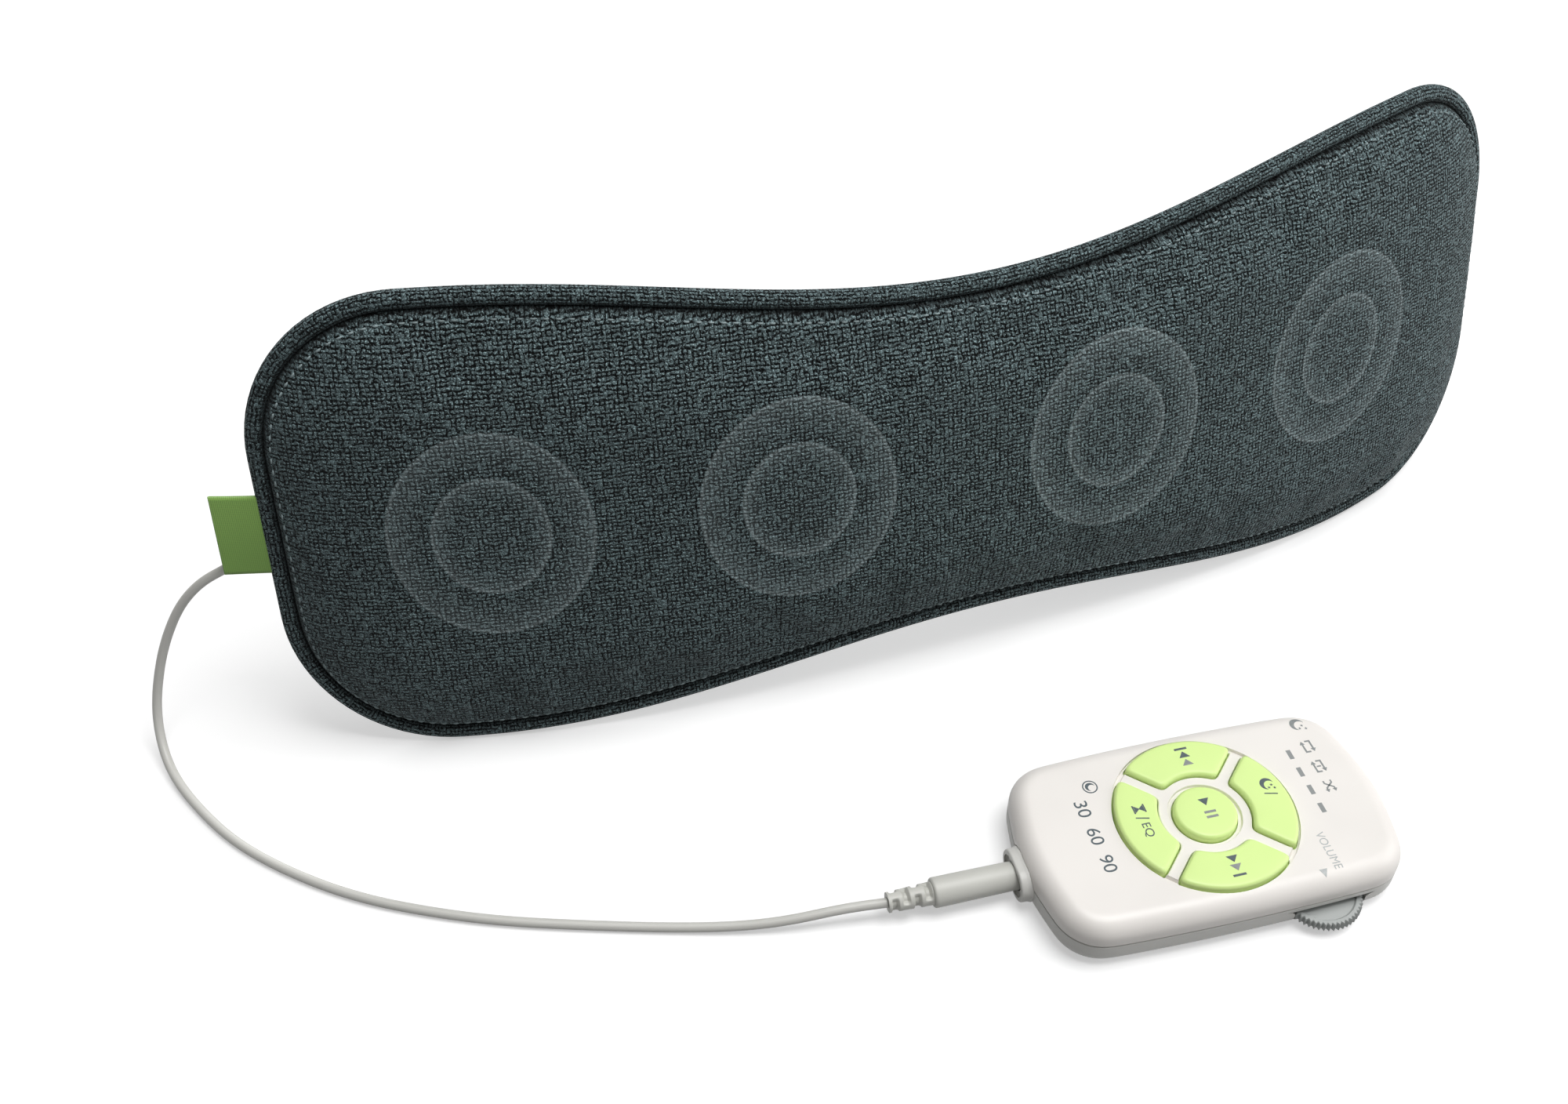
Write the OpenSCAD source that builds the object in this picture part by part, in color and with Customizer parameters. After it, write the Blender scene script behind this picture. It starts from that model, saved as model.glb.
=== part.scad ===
// Padded pillow speaker with a wired hand remote, in millimetres.
// The pad stands on its long lower edge, bent, and the remote lies flat in front of it.

/* [Pad] */
// Length of the pad along its bend
pad_length = 332; // [330:2:360]
// Height of the pad at its two ends
pad_height = 115; // [108:1:126]
// Radius of the pad's four corners
corner_r = 37; // [30:1:40]
// Length of the waist between the two lobes
waist_length = 248; // [200:2:254]
// How far the top edge dips at the waist
top_dip = 12; // [6:1:16]
// How far the bottom edge rises at the waist
bottom_rise = 15; // [8:1:18]
// Width of the sewn welt around the pad
welt_w = 4; // [3.6:0.1:5]
// Thickness of the welt
welt_t = 3.8; // [3.6:0.1:4.6]
// Swell of the front panel in front of the seam
front_crown = 8.5; // [8.2:0.1:10]
// Swell of the back panel behind the seam
back_crown = 6.5; // [6.5:0.1:8]
// Thickness of the cover fabric
cover_t = 1; // [0.8:0.1:1.2]
// Space between the foam and the covers
foam_gap = 0.4; // [0.3:0.05:0.6]
// Distance from the welt to the edge of the foam
foam_margin = 3; // [2.6:0.1:5]

/* [Stance] */
// Turn of the pad from its left end to its right end, degrees
bend_turn = 41; // [0:1:50]
// Extra turn towards both ends, degrees
bend_gain = 17; // [0:1:20]
// Heading of the pad at its middle, degrees
mid_heading = 19; // [0:1:30]
// How far the pad leans back, degrees
lean = 11.5; // [4:0.5:15]

/* [Loudspeakers] */
// Outer diameter of a loudspeaker basket
basket_d = 44; // [38:1:46]
// Depth of a basket from its rim to its back plate
basket_depth = 5.5; // [5:0.1:6]
// Diameter of the magnet cup
magnet_d = 20; // [16:1:24]
// Height of the magnet cup
magnet_h = 2.6; // [2:0.1:2.6]
// Diameter of the dome in the middle of the cone
dome_d = 25; // [20:1:27]
// Distance of the two inner loudspeakers from the middle of the row
inner_pair = 39; // [37:1:42]
// Distance of the two outer loudspeakers from the middle of the row
outer_pair = 107; // [98:1:108]
// Shift of the row towards the right end
row_shift = -8; // [-8:1:4]
// Height of the row above the pad's mid-height
row_up = 3; // [0:0.5:4]
// Clearance around each basket in the foam
pocket_gap = 0.4; // [0.2:0.1:0.8]
// Diameter of the wires between the loudspeakers
wire_d = 1.6; // [1.2:0.1:2]

/* [Label tag] */
// Width of the folded tag along the seam
tag_w = 19.5; // [12:0.5:24]
// Length of the tag outside the seam
tag_reach = 10; // [6:0.5:14]
// Length of the tag inside the seam
tag_root = 2.4; // [1.5:0.1:3]
// Thickness of the folded tag
tag_t = 0.8; // [0.6:0.1:0.9]
// Height of the tag's lower edge above the pad's foot
tag_up = 49.5; // [46:0.5:54]

/* [Cord and plug] */
// Diameter of the cord
cord_d = 2.2; // [1.8:0.1:2.4]
// Diameter of the gland in the seam
gland_d = 2.9; // [2.8:0.1:3.2]
// Length of the gland outside the seam
gland_reach = 3; // [2:0.5:4]
// Height of the gland above the pad's foot
gland_up = 52; // [48:0.5:54]
// Diameter of the plug's grip at its nose
grip_d = 6.4; // [6:0.1:7]
// Diameter of the grip at its tail
grip_tail_d = 6.7; // [6:0.1:7]
// Length of the grip
grip_length = 20; // [16:1:24]
// Length of the slotted strain relief
relief_length = 10; // [8:0.5:14]
// Diameter of the strain relief at the grip
relief_root_d = 5.2; // [4.8:0.1:5.8]
// Diameter of the strain relief at the cord
relief_tip_d = 4.5; // [3.8:0.1:4.7]
// Number of slotted ribs on the strain relief
relief_ribs = 4; // [3:1:5]
// Width of a slot in the strain relief
relief_slot = 0.9; // [0.6:0.1:1.2]
// Diameter of the plug's pin
pin_d = 3.5; // [3.5:0.1:3.6]
// Length of the plug's pin
pin_length = 14; // [12:0.5:15]

/* [Remote shells] */
// Length of the remote
remote_length = 84; // [82:1:90]
// Width of the remote
remote_width = 48; // [47:1:52]
// Height of the remote
remote_height = 13; // [12.5:0.1:14]
// Height of the parting line
parting_up = 7; // [6.9:0.1:7.2]
// Corner radius in plan
remote_corner_r = 10.5; // [8:0.5:12]
// Bow of the two end walls
end_bow = 1.8; // [0.5:0.1:3]
// Bow of the two long walls
side_bow = 0.7; // [0.2:0.1:1.2]
// Rounding along the upper edge
upper_round = 4.4; // [3:0.1:5]
// Rounding along the lower edge
lower_round = 4; // [2:0.1:4.4]
// Wall thickness of both shells
shell_wall = 1.8; // [1.4:0.1:1.9]

/* [Keys] */
// Outer radius of the ring of keys
ring_r = 20; // [18:0.5:20]
// Inner radius of the ring of keys
ring_inner_r = 10.5; // [10:0.1:11]
// Width of the spokes between the keys
spoke_w = 2.4; // [1.8:0.1:3]
// Radius of the round key in the middle
centre_r = 7; // [6:0.1:7.2]
// Radius of the recess around the round key
recess_r = 8.1; // [7.9:0.1:8.6]
// Depth of that recess
recess_depth = 0.9; // [0.5:0.1:1]
// Gap around every key
key_gap = 0.3; // [0.2:0.05:0.4]
// Height of the keys above the shell
key_proud = 1.2; // [0.9:0.1:1.4]
// Rounding along the top edge of a key
key_round = 0.8; // [0.4:0.1:1]
// Travel of a key
key_travel = 0.6; // [0.4:0.05:0.6]

/* [Volume wheel] */
// Radius of the thumbwheel over its teeth
wheel_r = 9; // [8.5:0.1:9.4]
// Thickness of the thumbwheel
wheel_t = 2.2; // [1.8:0.1:2.4]
// How far the thumbwheel stands out of the long wall
wheel_proud = 4.5; // [3:0.1:4.6]
// Distance of its axle from the remote's far end
wheel_along = 22; // [21.5:0.5:23]
// Number of teeth
wheel_teeth = 52; // [30:2:60]
// Depth of the teeth
tooth_depth = 0.7; // [0.3:0.05:0.8]
// Diameter of its axle
axle_d = 2.5; // [2:0.1:3]
// Running clearance around the axle
axle_gap = 0.05; // [0.03:0.01:0.1]
// Clearance of the thumbwheel in its slot
slot_gap = 0.4; // [0.3:0.05:0.5]

/* [Inside the remote] */
// Length of the circuit board
board_length = 60; // [56:1:61]
// Width of the circuit board
board_width = 41; // [36:1:42]
// Clearance between the board's long edges and the shell walls
board_gap = 0.4; // [0.2:0.1:1]
// Shift of the board towards the far end
board_shift = 0.5; // [0:0.1:1]
// Thickness of the circuit board
board_t = 1.2; // [0.8:0.1:1.2]
// Height of the board's underside
board_up = 6.2; // [6.1:0.05:6.3]
// Length of the battery
battery_length = 28; // [20:1:29]
// Width of the battery
battery_width = 24; // [16:1:25]
// Shift of the battery towards the plug
battery_shift = 6; // [5:0.5:7]
// Thickness of the battery
battery_t = 3.6; // [3:0.1:3.8]
// Height of the plug's axis above the table
jack_up = 5; // [4.8:0.1:5.2]
// Width of the collar around the plug
collar_w = 12.5; // [11:0.5:14]
// Height of the collar
collar_h = 8.6; // [8.4:0.1:9]
// How far the collar stands out of the end wall
collar_reach = 2; // [1.5:0.1:2.5]
// Width of the charging port
port_w = 7.6; // [7.4:0.1:9]
// Height of the charging port
port_h = 2.6; // [2.4:0.1:2.7]
// Distance of the charging port from the middle of the remote
port_along = -6; // [-10:1:0]
// Distance of the screws from the remote's two ends
screw_along = 8; // [8:0.5:9]
// Distance of the screws from the middle across the remote
screw_across = 15; // [14:0.5:15.5]

/* [Layout] */
// Place of the pad's left foot, from left to right
pad_x = -144.8; // [-200:0.1:-100]
// Place of the pad's left foot, from front to back
pad_y = -32.7; // [-80:0.1:20]
// Place of the middle of the remote, from left to right
remote_x = 61.3; // [20:0.1:90]
// Place of the middle of the remote, from front to back
remote_y = -63; // [-100:0.1:-50]
// Turn of the remote, degrees
remote_yaw = 14; // [0:1:30]

/* [Hidden] */
$fn = 48;
// Overshoot of a cut past the face that it opens.
past = 1;
skin = 0.01;
// The spokes between the four keys stand diagonally to the remote's length.
spoke_turn = 45;

// The pad's foot is a curve on the table whose heading grows from the left end to the right end.
bend_steps = 80;
bend_step = pad_length / bend_steps;
function along(s) = s / pad_length - 0.5;
function heading(s) = mid_heading + bend_turn * along(s) + bend_gain * pow(along(s), 2);
foot = [
    for (i = 0, x = pad_x, y = pad_y;
         i <= bend_steps;
         x = x + bend_step * cos(heading((i + 0.5) * bend_step)),
         y = y + bend_step * sin(heading((i + 0.5) * bend_step)),
         i = i + 1) [i * bend_step, x, y]
];
foot_x = [for (p = foot) [p[0], p[1]]];
foot_y = [for (p = foot) [p[0], p[2]]];
// The back of the welt's rounded lower edge rests on the table although the pad leans.
welt_round = 0.7;
welt_ease = 0.1;
welt_edge = welt_t / 2 - welt_round;
pad_lift = welt_edge * sin(lean);

// A point of the pad: s along the foot, t up the leaning face, n out of the front.
function pad_point(s, t, n) = let (h = heading(max(s, 0))) [
    lookup(s, foot_x) - sin(h) * (t * sin(lean) - n * cos(lean)) + min(s, 0) * cos(h),
    lookup(s, foot_y) + cos(h) * (t * sin(lean) - n * cos(lean)) + min(s, 0) * sin(h),
    pad_lift + t * cos(lean) + n * sin(lean)
];

// The outline: rounded corners, and a waist that eases in and out as a squared cosine.
function waist(s) = abs(s - pad_length / 2) < waist_length / 2
    ? pow(cos(180 * (s - pad_length / 2) / waist_length), 2) : 0;
function end_distance(s, inset) = min(s, pad_length - s) - inset;
function corner_cut(s, inset) = let (r = corner_r - inset, d = max(0, end_distance(s, inset)))
    d < r ? r - sqrt(r * r - pow(r - d, 2)) : 0;
function low_edge(s, inset) = inset + corner_cut(s, inset) + bottom_rise * waist(s);
function high_edge(s, inset) = pad_height - inset - corner_cut(s, inset) - top_dip * waist(s);

// Columns of the outline: even steps of angle round the corners, even lengths between them.
corner_columns = 6;
middle_columns = 22;
columns = 2 * corner_columns + middle_columns;
rows = 12;
function column_s(i, inset) = i <= corner_columns
    ? inset + (corner_r - inset) * (1 - cos(90 * i / corner_columns))
    : i >= columns - corner_columns ? pad_length - column_s(columns - i, inset)
    : corner_r + (pad_length - 2 * corner_r) * (i - corner_columns) / middle_columns;
function row_share(j) = (1 - cos(180 * j / rows)) / 2;
function grid_t(s, j, inset) =
    low_edge(s, inset) + row_share(j) * (high_edge(s, inset) - low_edge(s, inset));

// Swell of a panel, from 0 at the seam to 1 in the middle.
function swell(s, t) = let (
        u = min(1, abs(2 * (s - welt_w) / (pad_length - 2 * welt_w) - 1)),
        low = low_edge(s, welt_w),
        v = min(1, abs(2 * (t - low) / (high_edge(s, welt_w) - low) - 1)))
    sqrt(1 - pow(u, 14)) * pow(1 - pow(v, 4), 0.6);

// Faces of a closed slab whose two skins are grids of the same columns and rows.
function skin_faces(nc, nr, start, flip) = [
    for (i = [0 : nc - 1], j = [0 : nr - 1]) let (
        a = start + i * (nr + 1) + j, b = a + nr + 1)
    each (flip ? [[a, b, b + 1], [a, b + 1, a + 1]] : [[a, b + 1, b], [a, a + 1, b + 1]])
];
function rim_ring(nc, nr) = concat(
    [for (i = [0 : nc - 1]) i * (nr + 1)],
    [for (j = [0 : nr - 1]) nc * (nr + 1) + j],
    [for (i = [nc : -1 : 1]) i * (nr + 1) + nr],
    [for (j = [nr : -1 : 1]) j]
);
function rim_faces(nc, nr, skip) = let (ring = rim_ring(nc, nr), m = len(ring)) [
    for (k = [0 : m - 1]) let (a = ring[k], b = ring[(k + 1) % m])
    each [[a, b, b + skip], [a, b + skip, a + skip]]
];
module slab(front, back, nc, nr) {
    count = len(front);
    polyhedron(
        points = concat(front, back),
        faces = concat(skin_faces(nc, nr, 0, false), skin_faces(nc, nr, count, true),
                       rim_faces(nc, nr, count)),
        convexity = 6);
}

// Two rings of points joined into tubes and lofts.
function loft_faces(rings, m, closed) = [
    for (k = [0 : rings - (closed ? 1 : 2)], i = [0 : m - 1]) let (
        a = k * m + i, b = k * m + (i + 1) % m,
        c = ((k + 1) % rings) * m + i, d = ((k + 1) % rings) * m + (i + 1) % m)
    each [[a, c, b], [b, c, d]]
];
module loft(outlines) {
    m = len(outlines[0]);
    rings = len(outlines);
    polyhedron(
        points = [for (o = outlines) each o],
        faces = concat(loft_faces(rings, m, false), [[for (i = [0 : m - 1]) i]],
                       [[for (i = [m - 1 : -1 : 0]) (rings - 1) * m + i]]),
        convexity = 6);
}

module at_pad(s, t, n) translate(pad_point(s, t, n)) rotate([90 - lean, 0, heading(s)]) children();

function panel_grid(crown, side, lift) = [
    for (i = [0 : columns], j = [0 : rows]) let (
        s = column_s(i, welt_w), t = grid_t(s, j, welt_w))
    pad_point(s, t, side * ((crown - cover_t) * swell(s, t) + lift))
];
foam_inset = welt_w + foam_margin;
function foam_grid(crown, side) = [
    for (i = [0 : columns], j = [0 : rows]) let (
        s = column_s(i, foam_inset), t = grid_t(s, j, foam_inset))
    pad_point(s, t, side * ((crown - cover_t) * swell(s, t) - foam_gap))
];

module pad_front_cover() color("darkslategray")
    slab(panel_grid(front_crown, 1, cover_t), panel_grid(front_crown, 1, 0), columns, rows);

module pad_back_cover() color("darkslategray") difference() {
    slab(panel_grid(back_crown, -1, 0), panel_grid(back_crown, -1, cover_t), columns, rows);
    wire_runs(wire_d / 2 + foam_gap);
}

// The welt's section runs once around the outline, from the seam out to the rounded edge.
welt_section = [
    [1, cover_t], [0.65, welt_t / 2], [0.15, welt_t / 2 - welt_ease], [0, welt_edge],
    [0, -welt_edge], [0.15, -welt_t / 2 + welt_ease], [0.65, -welt_t / 2], [1, -cover_t], [1, 0]
];
function welt_stations(inset) = concat(
    [for (i = [0 : columns]) let (s = column_s(i, inset)) [s, low_edge(s, inset)]],
    [for (j = [1 : rows - 1]) let (s = pad_length - inset) [s, grid_t(s, j, inset)]],
    [for (i = [columns : -1 : 0]) let (s = column_s(i, inset)) [s, high_edge(s, inset)]],
    [for (j = [rows - 1 : -1 : 1]) [inset, grid_t(inset, j, inset)]]
);
module seam_welt() color("darkslategray") difference() {
    rails = [for (p = welt_section) welt_stations(p[0] * welt_w)];
    m = len(welt_section);
    stations = len(rails[0]);
    polyhedron(
        points = [for (k = [0 : stations - 1], i = [0 : m - 1])
                  pad_point(rails[i][k][0], rails[i][k][1], welt_section[i][1])],
        faces = loft_faces(stations, m, true), convexity = 8);
    at_pad(0, tag_up, tag_n) translate([-past, -skin, -skin])
        cube([tag_root + past, tag_w + 2 * skin, tag_t + 2 * skin]);
    at_pad(0, gland_up, gland_n) rotate([0, 90, 0]) cylinder(d = gland_d, h = 3 * welt_w, center = true);
}

tag_n = 0.4;
module label_tag() color("olivedrab") at_pad(0, tag_up, tag_n) {
    translate([-tag_reach, 0, 0]) cube([tag_reach + tag_root, tag_w, tag_t]);
    translate([-tag_reach, 0, tag_t / 2]) rotate([-90, 0, 0]) cylinder(d = tag_t, h = tag_w, $fn = 16);
}

gland_n = -1.2;
gland_gap = 0.2;
gland_taper = 1;
gland_lip = 0.1;
// The wires end in a short pocket in the gland.
wire_pocket = 1.5;
wire_pocket_gap = 0.3;
module cord_gland() color("silver") at_pad(0, gland_up, gland_n) rotate([0, -90, 0]) difference() {
    rotate_extrude() polygon([
        [0, gland_gap - welt_w], [gland_d / 2, gland_gap - welt_w], [gland_d / 2, gland_reach - gland_taper],
        [cord_d / 2 + gland_lip, gland_reach], [0, gland_reach]]);
    translate([0, 0, -welt_w - past]) cylinder(d = wire_d + 2 * wire_pocket_gap, h = wire_pocket + past);
}

// The loudspeakers lie in a row, and each is built around its own axis.
row_t = pad_height / 2 + row_up;
speaker_s = [for (d = [-outer_pair, -inner_pair, inner_pair, outer_pair]) pad_length / 2 + row_shift + d];
rim_depth = 4;
rim_n = front_crown - cover_t - rim_depth;
module at_speaker(i) at_pad(speaker_s[i], row_t, 0) children();

// A basket's section: a rim, a ledge for the cone, a sloping wall and a back plate.
basket_r = basket_d / 2;
rim_t = 1.1;
rim_w = 1.2;
rim_root = 1.4;
ledge_drop = 0.8;
ledge_w = 1;
slope_w = 4;
slope_t = 0.6;
plate_t = 0.8;
ledge_n = rim_n - ledge_drop;
plate_n = rim_n - basket_depth;
module speaker_basket(i) color("dimgray") at_speaker(i) rotate_extrude() polygon([
    [basket_r, rim_n], [basket_r, rim_n - rim_t], [basket_r - rim_root, rim_n - rim_t],
    [basket_r - rim_root - slope_w, plate_n], [0, plate_n], [0, plate_n + plate_t],
    [basket_r - rim_root - slope_w - slope_t, plate_n + plate_t], [basket_r - rim_root - ledge_w, ledge_n],
    [basket_r - rim_w, ledge_n], [basket_r - rim_w, rim_n]]);

magnet_ease = 0.4;
module speaker_magnet(i) color("silver") at_speaker(i) rotate_extrude() polygon([
    [0, plate_n], [magnet_d / 2, plate_n], [magnet_d / 2, plate_n - magnet_h + magnet_ease],
    [magnet_d / 2 - magnet_ease, plate_n - magnet_h], [0, plate_n - magnet_h]]);

// A cone is one thin sheet: a rolled surround, a sloping ring and a dome.
cone_t = 0.35;
cone_gap = 0.1;
cone_r = basket_r - rim_w - cone_gap;
cone_sink = 1.6;
roll_r = cone_r - 1.2;
roll_w = 1.4;
roll_rise = 0.3;
roll_land = 0.6;
dome_rise = 0.1;
cone_rise = [
    [cone_r, 0], [roll_r, 0], [roll_r - roll_w / 2, roll_rise], [roll_r - roll_w, 0],
    [roll_r - roll_w - roll_land, 0], [dome_d / 2, -cone_sink], [dome_d / 3, -0.3 * cone_sink],
    [dome_d / 6, 0], [0, dome_rise]
];
module speaker_cone(i) color("gainsboro") at_speaker(i) rotate_extrude() polygon(concat(
    [for (p = cone_rise) [p[0], ledge_n + p[1] + cone_t]],
    [for (k = [len(cone_rise) - 1 : -1 : 0]) [cone_rise[k][0], ledge_n + cone_rise[k][1]]]));

module rod(a, b, r) {
    v = b - a;
    translate(a) rotate([0, acos(v[2] / norm(v)), atan2(v[1], v[0])]) cylinder(r = r, h = norm(v), $fn = 16);
}
wire_rise = 2.6;
wire_n = plate_n + wire_rise;
// Each wire starts inside a basket's wall, and the first one inside the gland.
wire_sink = 2;
wire_edge = basket_r - wire_sink;
wire_inset = 0.5;
module wire_runs(r) {
    rod(pad_point(welt_w - wire_inset, gland_up, gland_n),
        pad_point(speaker_s[0] - wire_edge, row_t, wire_n), r);
    for (i = [0 : 2]) rod(
        pad_point(speaker_s[i] + wire_edge, row_t, wire_n),
        pad_point(speaker_s[i + 1] - wire_edge, row_t, wire_n), r);
}
module speaker_wiring() color("maroon") wire_runs(wire_d / 2);

module foam_core() color("khaki") difference() {
    slab(foam_grid(front_crown, 1), foam_grid(back_crown, -1), columns, rows);
    for (i = [0 : 3]) at_speaker(i) translate([0, 0, -back_crown - past])
        cylinder(r = basket_r + pocket_gap, h = back_crown + past + rim_n + foam_gap);
    wire_runs(wire_d / 2 + foam_gap);
}

// The remote's own frame: x along it from the plug end, y across it, z up from the table.
module in_remote() translate([remote_x, remote_y, 0]) rotate(remote_yaw) children();
function from_remote(p) = [
    remote_x + p[0] * cos(remote_yaw) - p[1] * sin(remote_yaw),
    remote_y + p[0] * sin(remote_yaw) + p[1] * cos(remote_yaw), p[2]
];

// Plan outline of the remote at an inset: four round corners joined by bowed walls.
corner_steps = 6;
least_corner_r = 1.5;
// The shells are as wide as set, and wide enough for the board and its clearance.
shell_width = max(remote_width, board_width + 2 * (shell_wall + side_bow + board_gap));
function remote_outline(inset, z) = let (
        hx = remote_length / 2 - inset, hy = shell_width / 2 - inset,
        r = max(remote_corner_r - inset, least_corner_r), cx = hx - end_bow - r, cy = hy - side_bow - r,
        quarter = [for (k = [0 : corner_steps]) let (a = 90 * k / corner_steps)
                   [cx + r * cos(a), cy + r * sin(a)]],
        right = [for (f = [-0.5, 0, 0.5]) [hx - end_bow * f * f, cy * f]],
        top = [for (f = [0.5, 0, -0.5]) [cx * f, hy - side_bow * f * f]])
    [for (p = concat(
        right, quarter, top,
        [for (k = [corner_steps : -1 : 0]) [-quarter[k][0], quarter[k][1]]],
        [for (p = right) [-p[0], -p[1]]],
        [for (p = quarter) [-p[0], -p[1]]],
        [for (p = top) [-p[0], -p[1]]],
        [for (k = [corner_steps : -1 : 0]) [quarter[k][0], -quarter[k][1]]])) [p[0], p[1], z]];

round_steps = 5;
function lower_levels(grow, floor_up, r) = concat(
    [for (k = [0 : round_steps]) let (a = 90 * k / round_steps)
     [grow + r * (1 - sin(a)), floor_up + r * (1 - cos(a))]],
    [[grow, parting_up]]);
function upper_levels(grow, top_up, r) = concat(
    [[grow, parting_up]],
    [for (k = [0 : round_steps]) let (a = 90 * k / round_steps)
     [grow + r * (1 - cos(a)), top_up - r * (1 - sin(a))]]);
module remote_body(levels) loft([for (l = levels) remote_outline(l[0], l[1])]);

floor_t = 1.6;
roof_t = shell_wall;
cavity_round = 1.8;
boss_r = 2.6;
boss_sink = 0.2;
screw_r = 1;
screw_gap = 0.2;
head_r = 2;
head_gap = 0.3;
head_h = 1.2;
counterbore_depth = 1.5;
screw_top = 9.5;
screw_end_gap = 0.3;
thread_gap = 0.05;
end_wall = remote_length / 2;
wheel_x = end_wall - wheel_along;
wheel_y = wheel_r - wheel_proud - shell_width / 2;
wheel_gap = 0.6;
wheel_up = floor_t + wheel_gap;
collar_gap = 0.15;
nose_gap = 0.3;
nose_inset = 1.5;
grip_hole_r = grip_d / 2 + nose_gap;
collar_floor = 0.2;
pin_gap = 0.3;
pin_hole_r = pin_d / 2 + pin_gap;

module at_screws() for (x = [-1, 1], y = [-1, 1]) 
    translate([x * (end_wall - screw_along), y * screw_across, 0]) children();

// The collar is a stadium standing out of the plug end's wall.
module collar(grow, depth) translate([-end_wall - collar_reach, 0, jack_up]) rotate([0, 90, 0])
    linear_extrude(collar_reach + depth) for (y = [-1, 1])
        translate([0, y * (collar_w - collar_h) / 2]) {
            circle(r = collar_h / 2 + grow);
            translate([0, -y * (collar_w - collar_h) / 4]) square(
                [collar_h + 2 * grow, (collar_w - collar_h) / 2], center = true);
        }

board_x = board_shift - board_length / 2;
notch_gap = 0.3;
boss_gap = 0.4;
pillar_r = 1.6;
pillar_inset = 3;
pillar_x = board_x + pillar_inset;
pillar_y = board_width / 2 - pillar_inset;
// The fourth pillar stands beside the battery, clear of the thumbwheel.
fourth_pillar = wheel_x - wheel_r - pillar_inset - pillar_inset;
pillars = [
    [pillar_x, pillar_y], [pillar_x, -pillar_y],
    [board_x + board_length - pillar_inset, pillar_y], [fourth_pillar, -pillar_y]
];
socket_length = 13;
socket_w = 7;
socket_gap = 0.3;
socket_front = -end_wall + shell_wall + socket_gap;
socket_low = floor_t;
socket_rise = 3.2;
socket_high = jack_up + socket_rise;
module socket_block() translate([socket_front, -socket_w / 2, socket_low])
    cube([socket_length, socket_w, socket_high - socket_low]);
port_depth = 6.5;
port_up = board_up - port_h;
port_sink = 0.8;
port_gap = 0.2;
port_front = shell_width / 2 - port_sink;

module remote_lower_shell() color("darkgray") in_remote() difference() {
    union() {
        difference() {
            remote_body(lower_levels(0, 0, lower_round));
            remote_body([for (l = lower_levels(shell_wall, floor_t, cavity_round))
                         [l[0], l[1] == parting_up ? parting_up + past : l[1]]]);
        }
        collar(0, shell_wall);
        at_screws() translate([0, 0, floor_t - boss_sink])
            cylinder(r = boss_r, h = parting_up - floor_t + boss_sink);
        for (p = pillars) translate([p[0], p[1], floor_t - boss_sink])
            cylinder(r = pillar_r, h = board_up - floor_t + boss_sink);
    }
    at_screws() translate([0, 0, -past]) cylinder(r = screw_r + screw_gap, h = parting_up + 2 * past);
    at_screws() translate([0, 0, -past]) cylinder(r = head_r + head_gap, h = counterbore_depth + past);
    translate([-end_wall - collar_reach - past, 0, jack_up]) rotate([0, 90, 0])
        cylinder(r = grip_hole_r, h = collar_reach + past - collar_floor);
    translate([-end_wall - past, 0, jack_up]) rotate([0, 90, 0])
        cylinder(r = pin_hole_r, h = shell_wall + 2 * past);
    translate([wheel_x, wheel_y, wheel_up - slot_gap])
        cylinder(r = wheel_r + slot_gap, h = wheel_t + 2 * slot_gap);
    socket_block();
    translate([port_along - port_w / 2 - port_gap, port_front - shell_wall - port_gap, port_up - port_gap])
        cube([port_w + 2 * port_gap, shell_wall + port_gap + port_sink + past, port_h + 2 * port_gap]);
}

// Sector between two spokes, with its corners eased by short curves.
key_corner = 1;
key_inner_corner = 0.7;
function eased(p, a, b, c) = let (u = (a - p) / norm(a - p), v = (b - p) / norm(b - p))
    [p + c * u, p + c * 0.3 * (u + v), p + c * v];
function sector(inset, z) = let (
        ro = ring_r - inset, ri = ring_inner_r + inset, g = spoke_w / 2 + key_gap + inset,
        ao = asin(g / ro), ai = asin(g / ri), steps = 10,
        outer = [for (k = [0 : steps]) let (a = ao + (90 - 2 * ao) * k / steps) ro * [cos(a), sin(a)]],
        inner = [for (k = [0 : steps]) let (a = 90 - ai - (90 - 2 * ai) * k / steps) ri * [cos(a), sin(a)]])
    [for (p = concat(
        eased(outer[0], inner[steps], outer[1], key_corner),
        [for (k = [1 : steps - 1]) outer[k]],
        eased(outer[steps], outer[steps - 1], inner[0], key_corner),
        eased(inner[0], outer[steps], inner[1], key_inner_corner),
        [for (k = [1 : steps - 1]) inner[k]],
        eased(inner[steps], inner[steps - 1], outer[0], key_inner_corner))) [p[0], p[1], z]];

key_top = remote_height + key_proud;
skirt_gap = 0.2;
skirt_up = remote_height - roof_t - skirt_gap;
skirt_t = 0.8;
skirt_w = 0.6;
function key_levels() = concat(
    [[-skirt_w, skirt_up - skirt_t], [-skirt_w, skirt_up], [0, skirt_up]],
    [for (k = [0 : 3]) [key_round * (1 - cos(30 * k)), key_top - key_round * (1 - sin(30 * k))]]);
switch_h = 1.6;
switch_top = board_up + board_t + switch_h;
stem_r = 1.6;
stem_gap = 0.1;
stem_up = switch_top + key_travel + stem_gap;
stem_ring_r = (ring_r + ring_inner_r) / 2;

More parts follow.
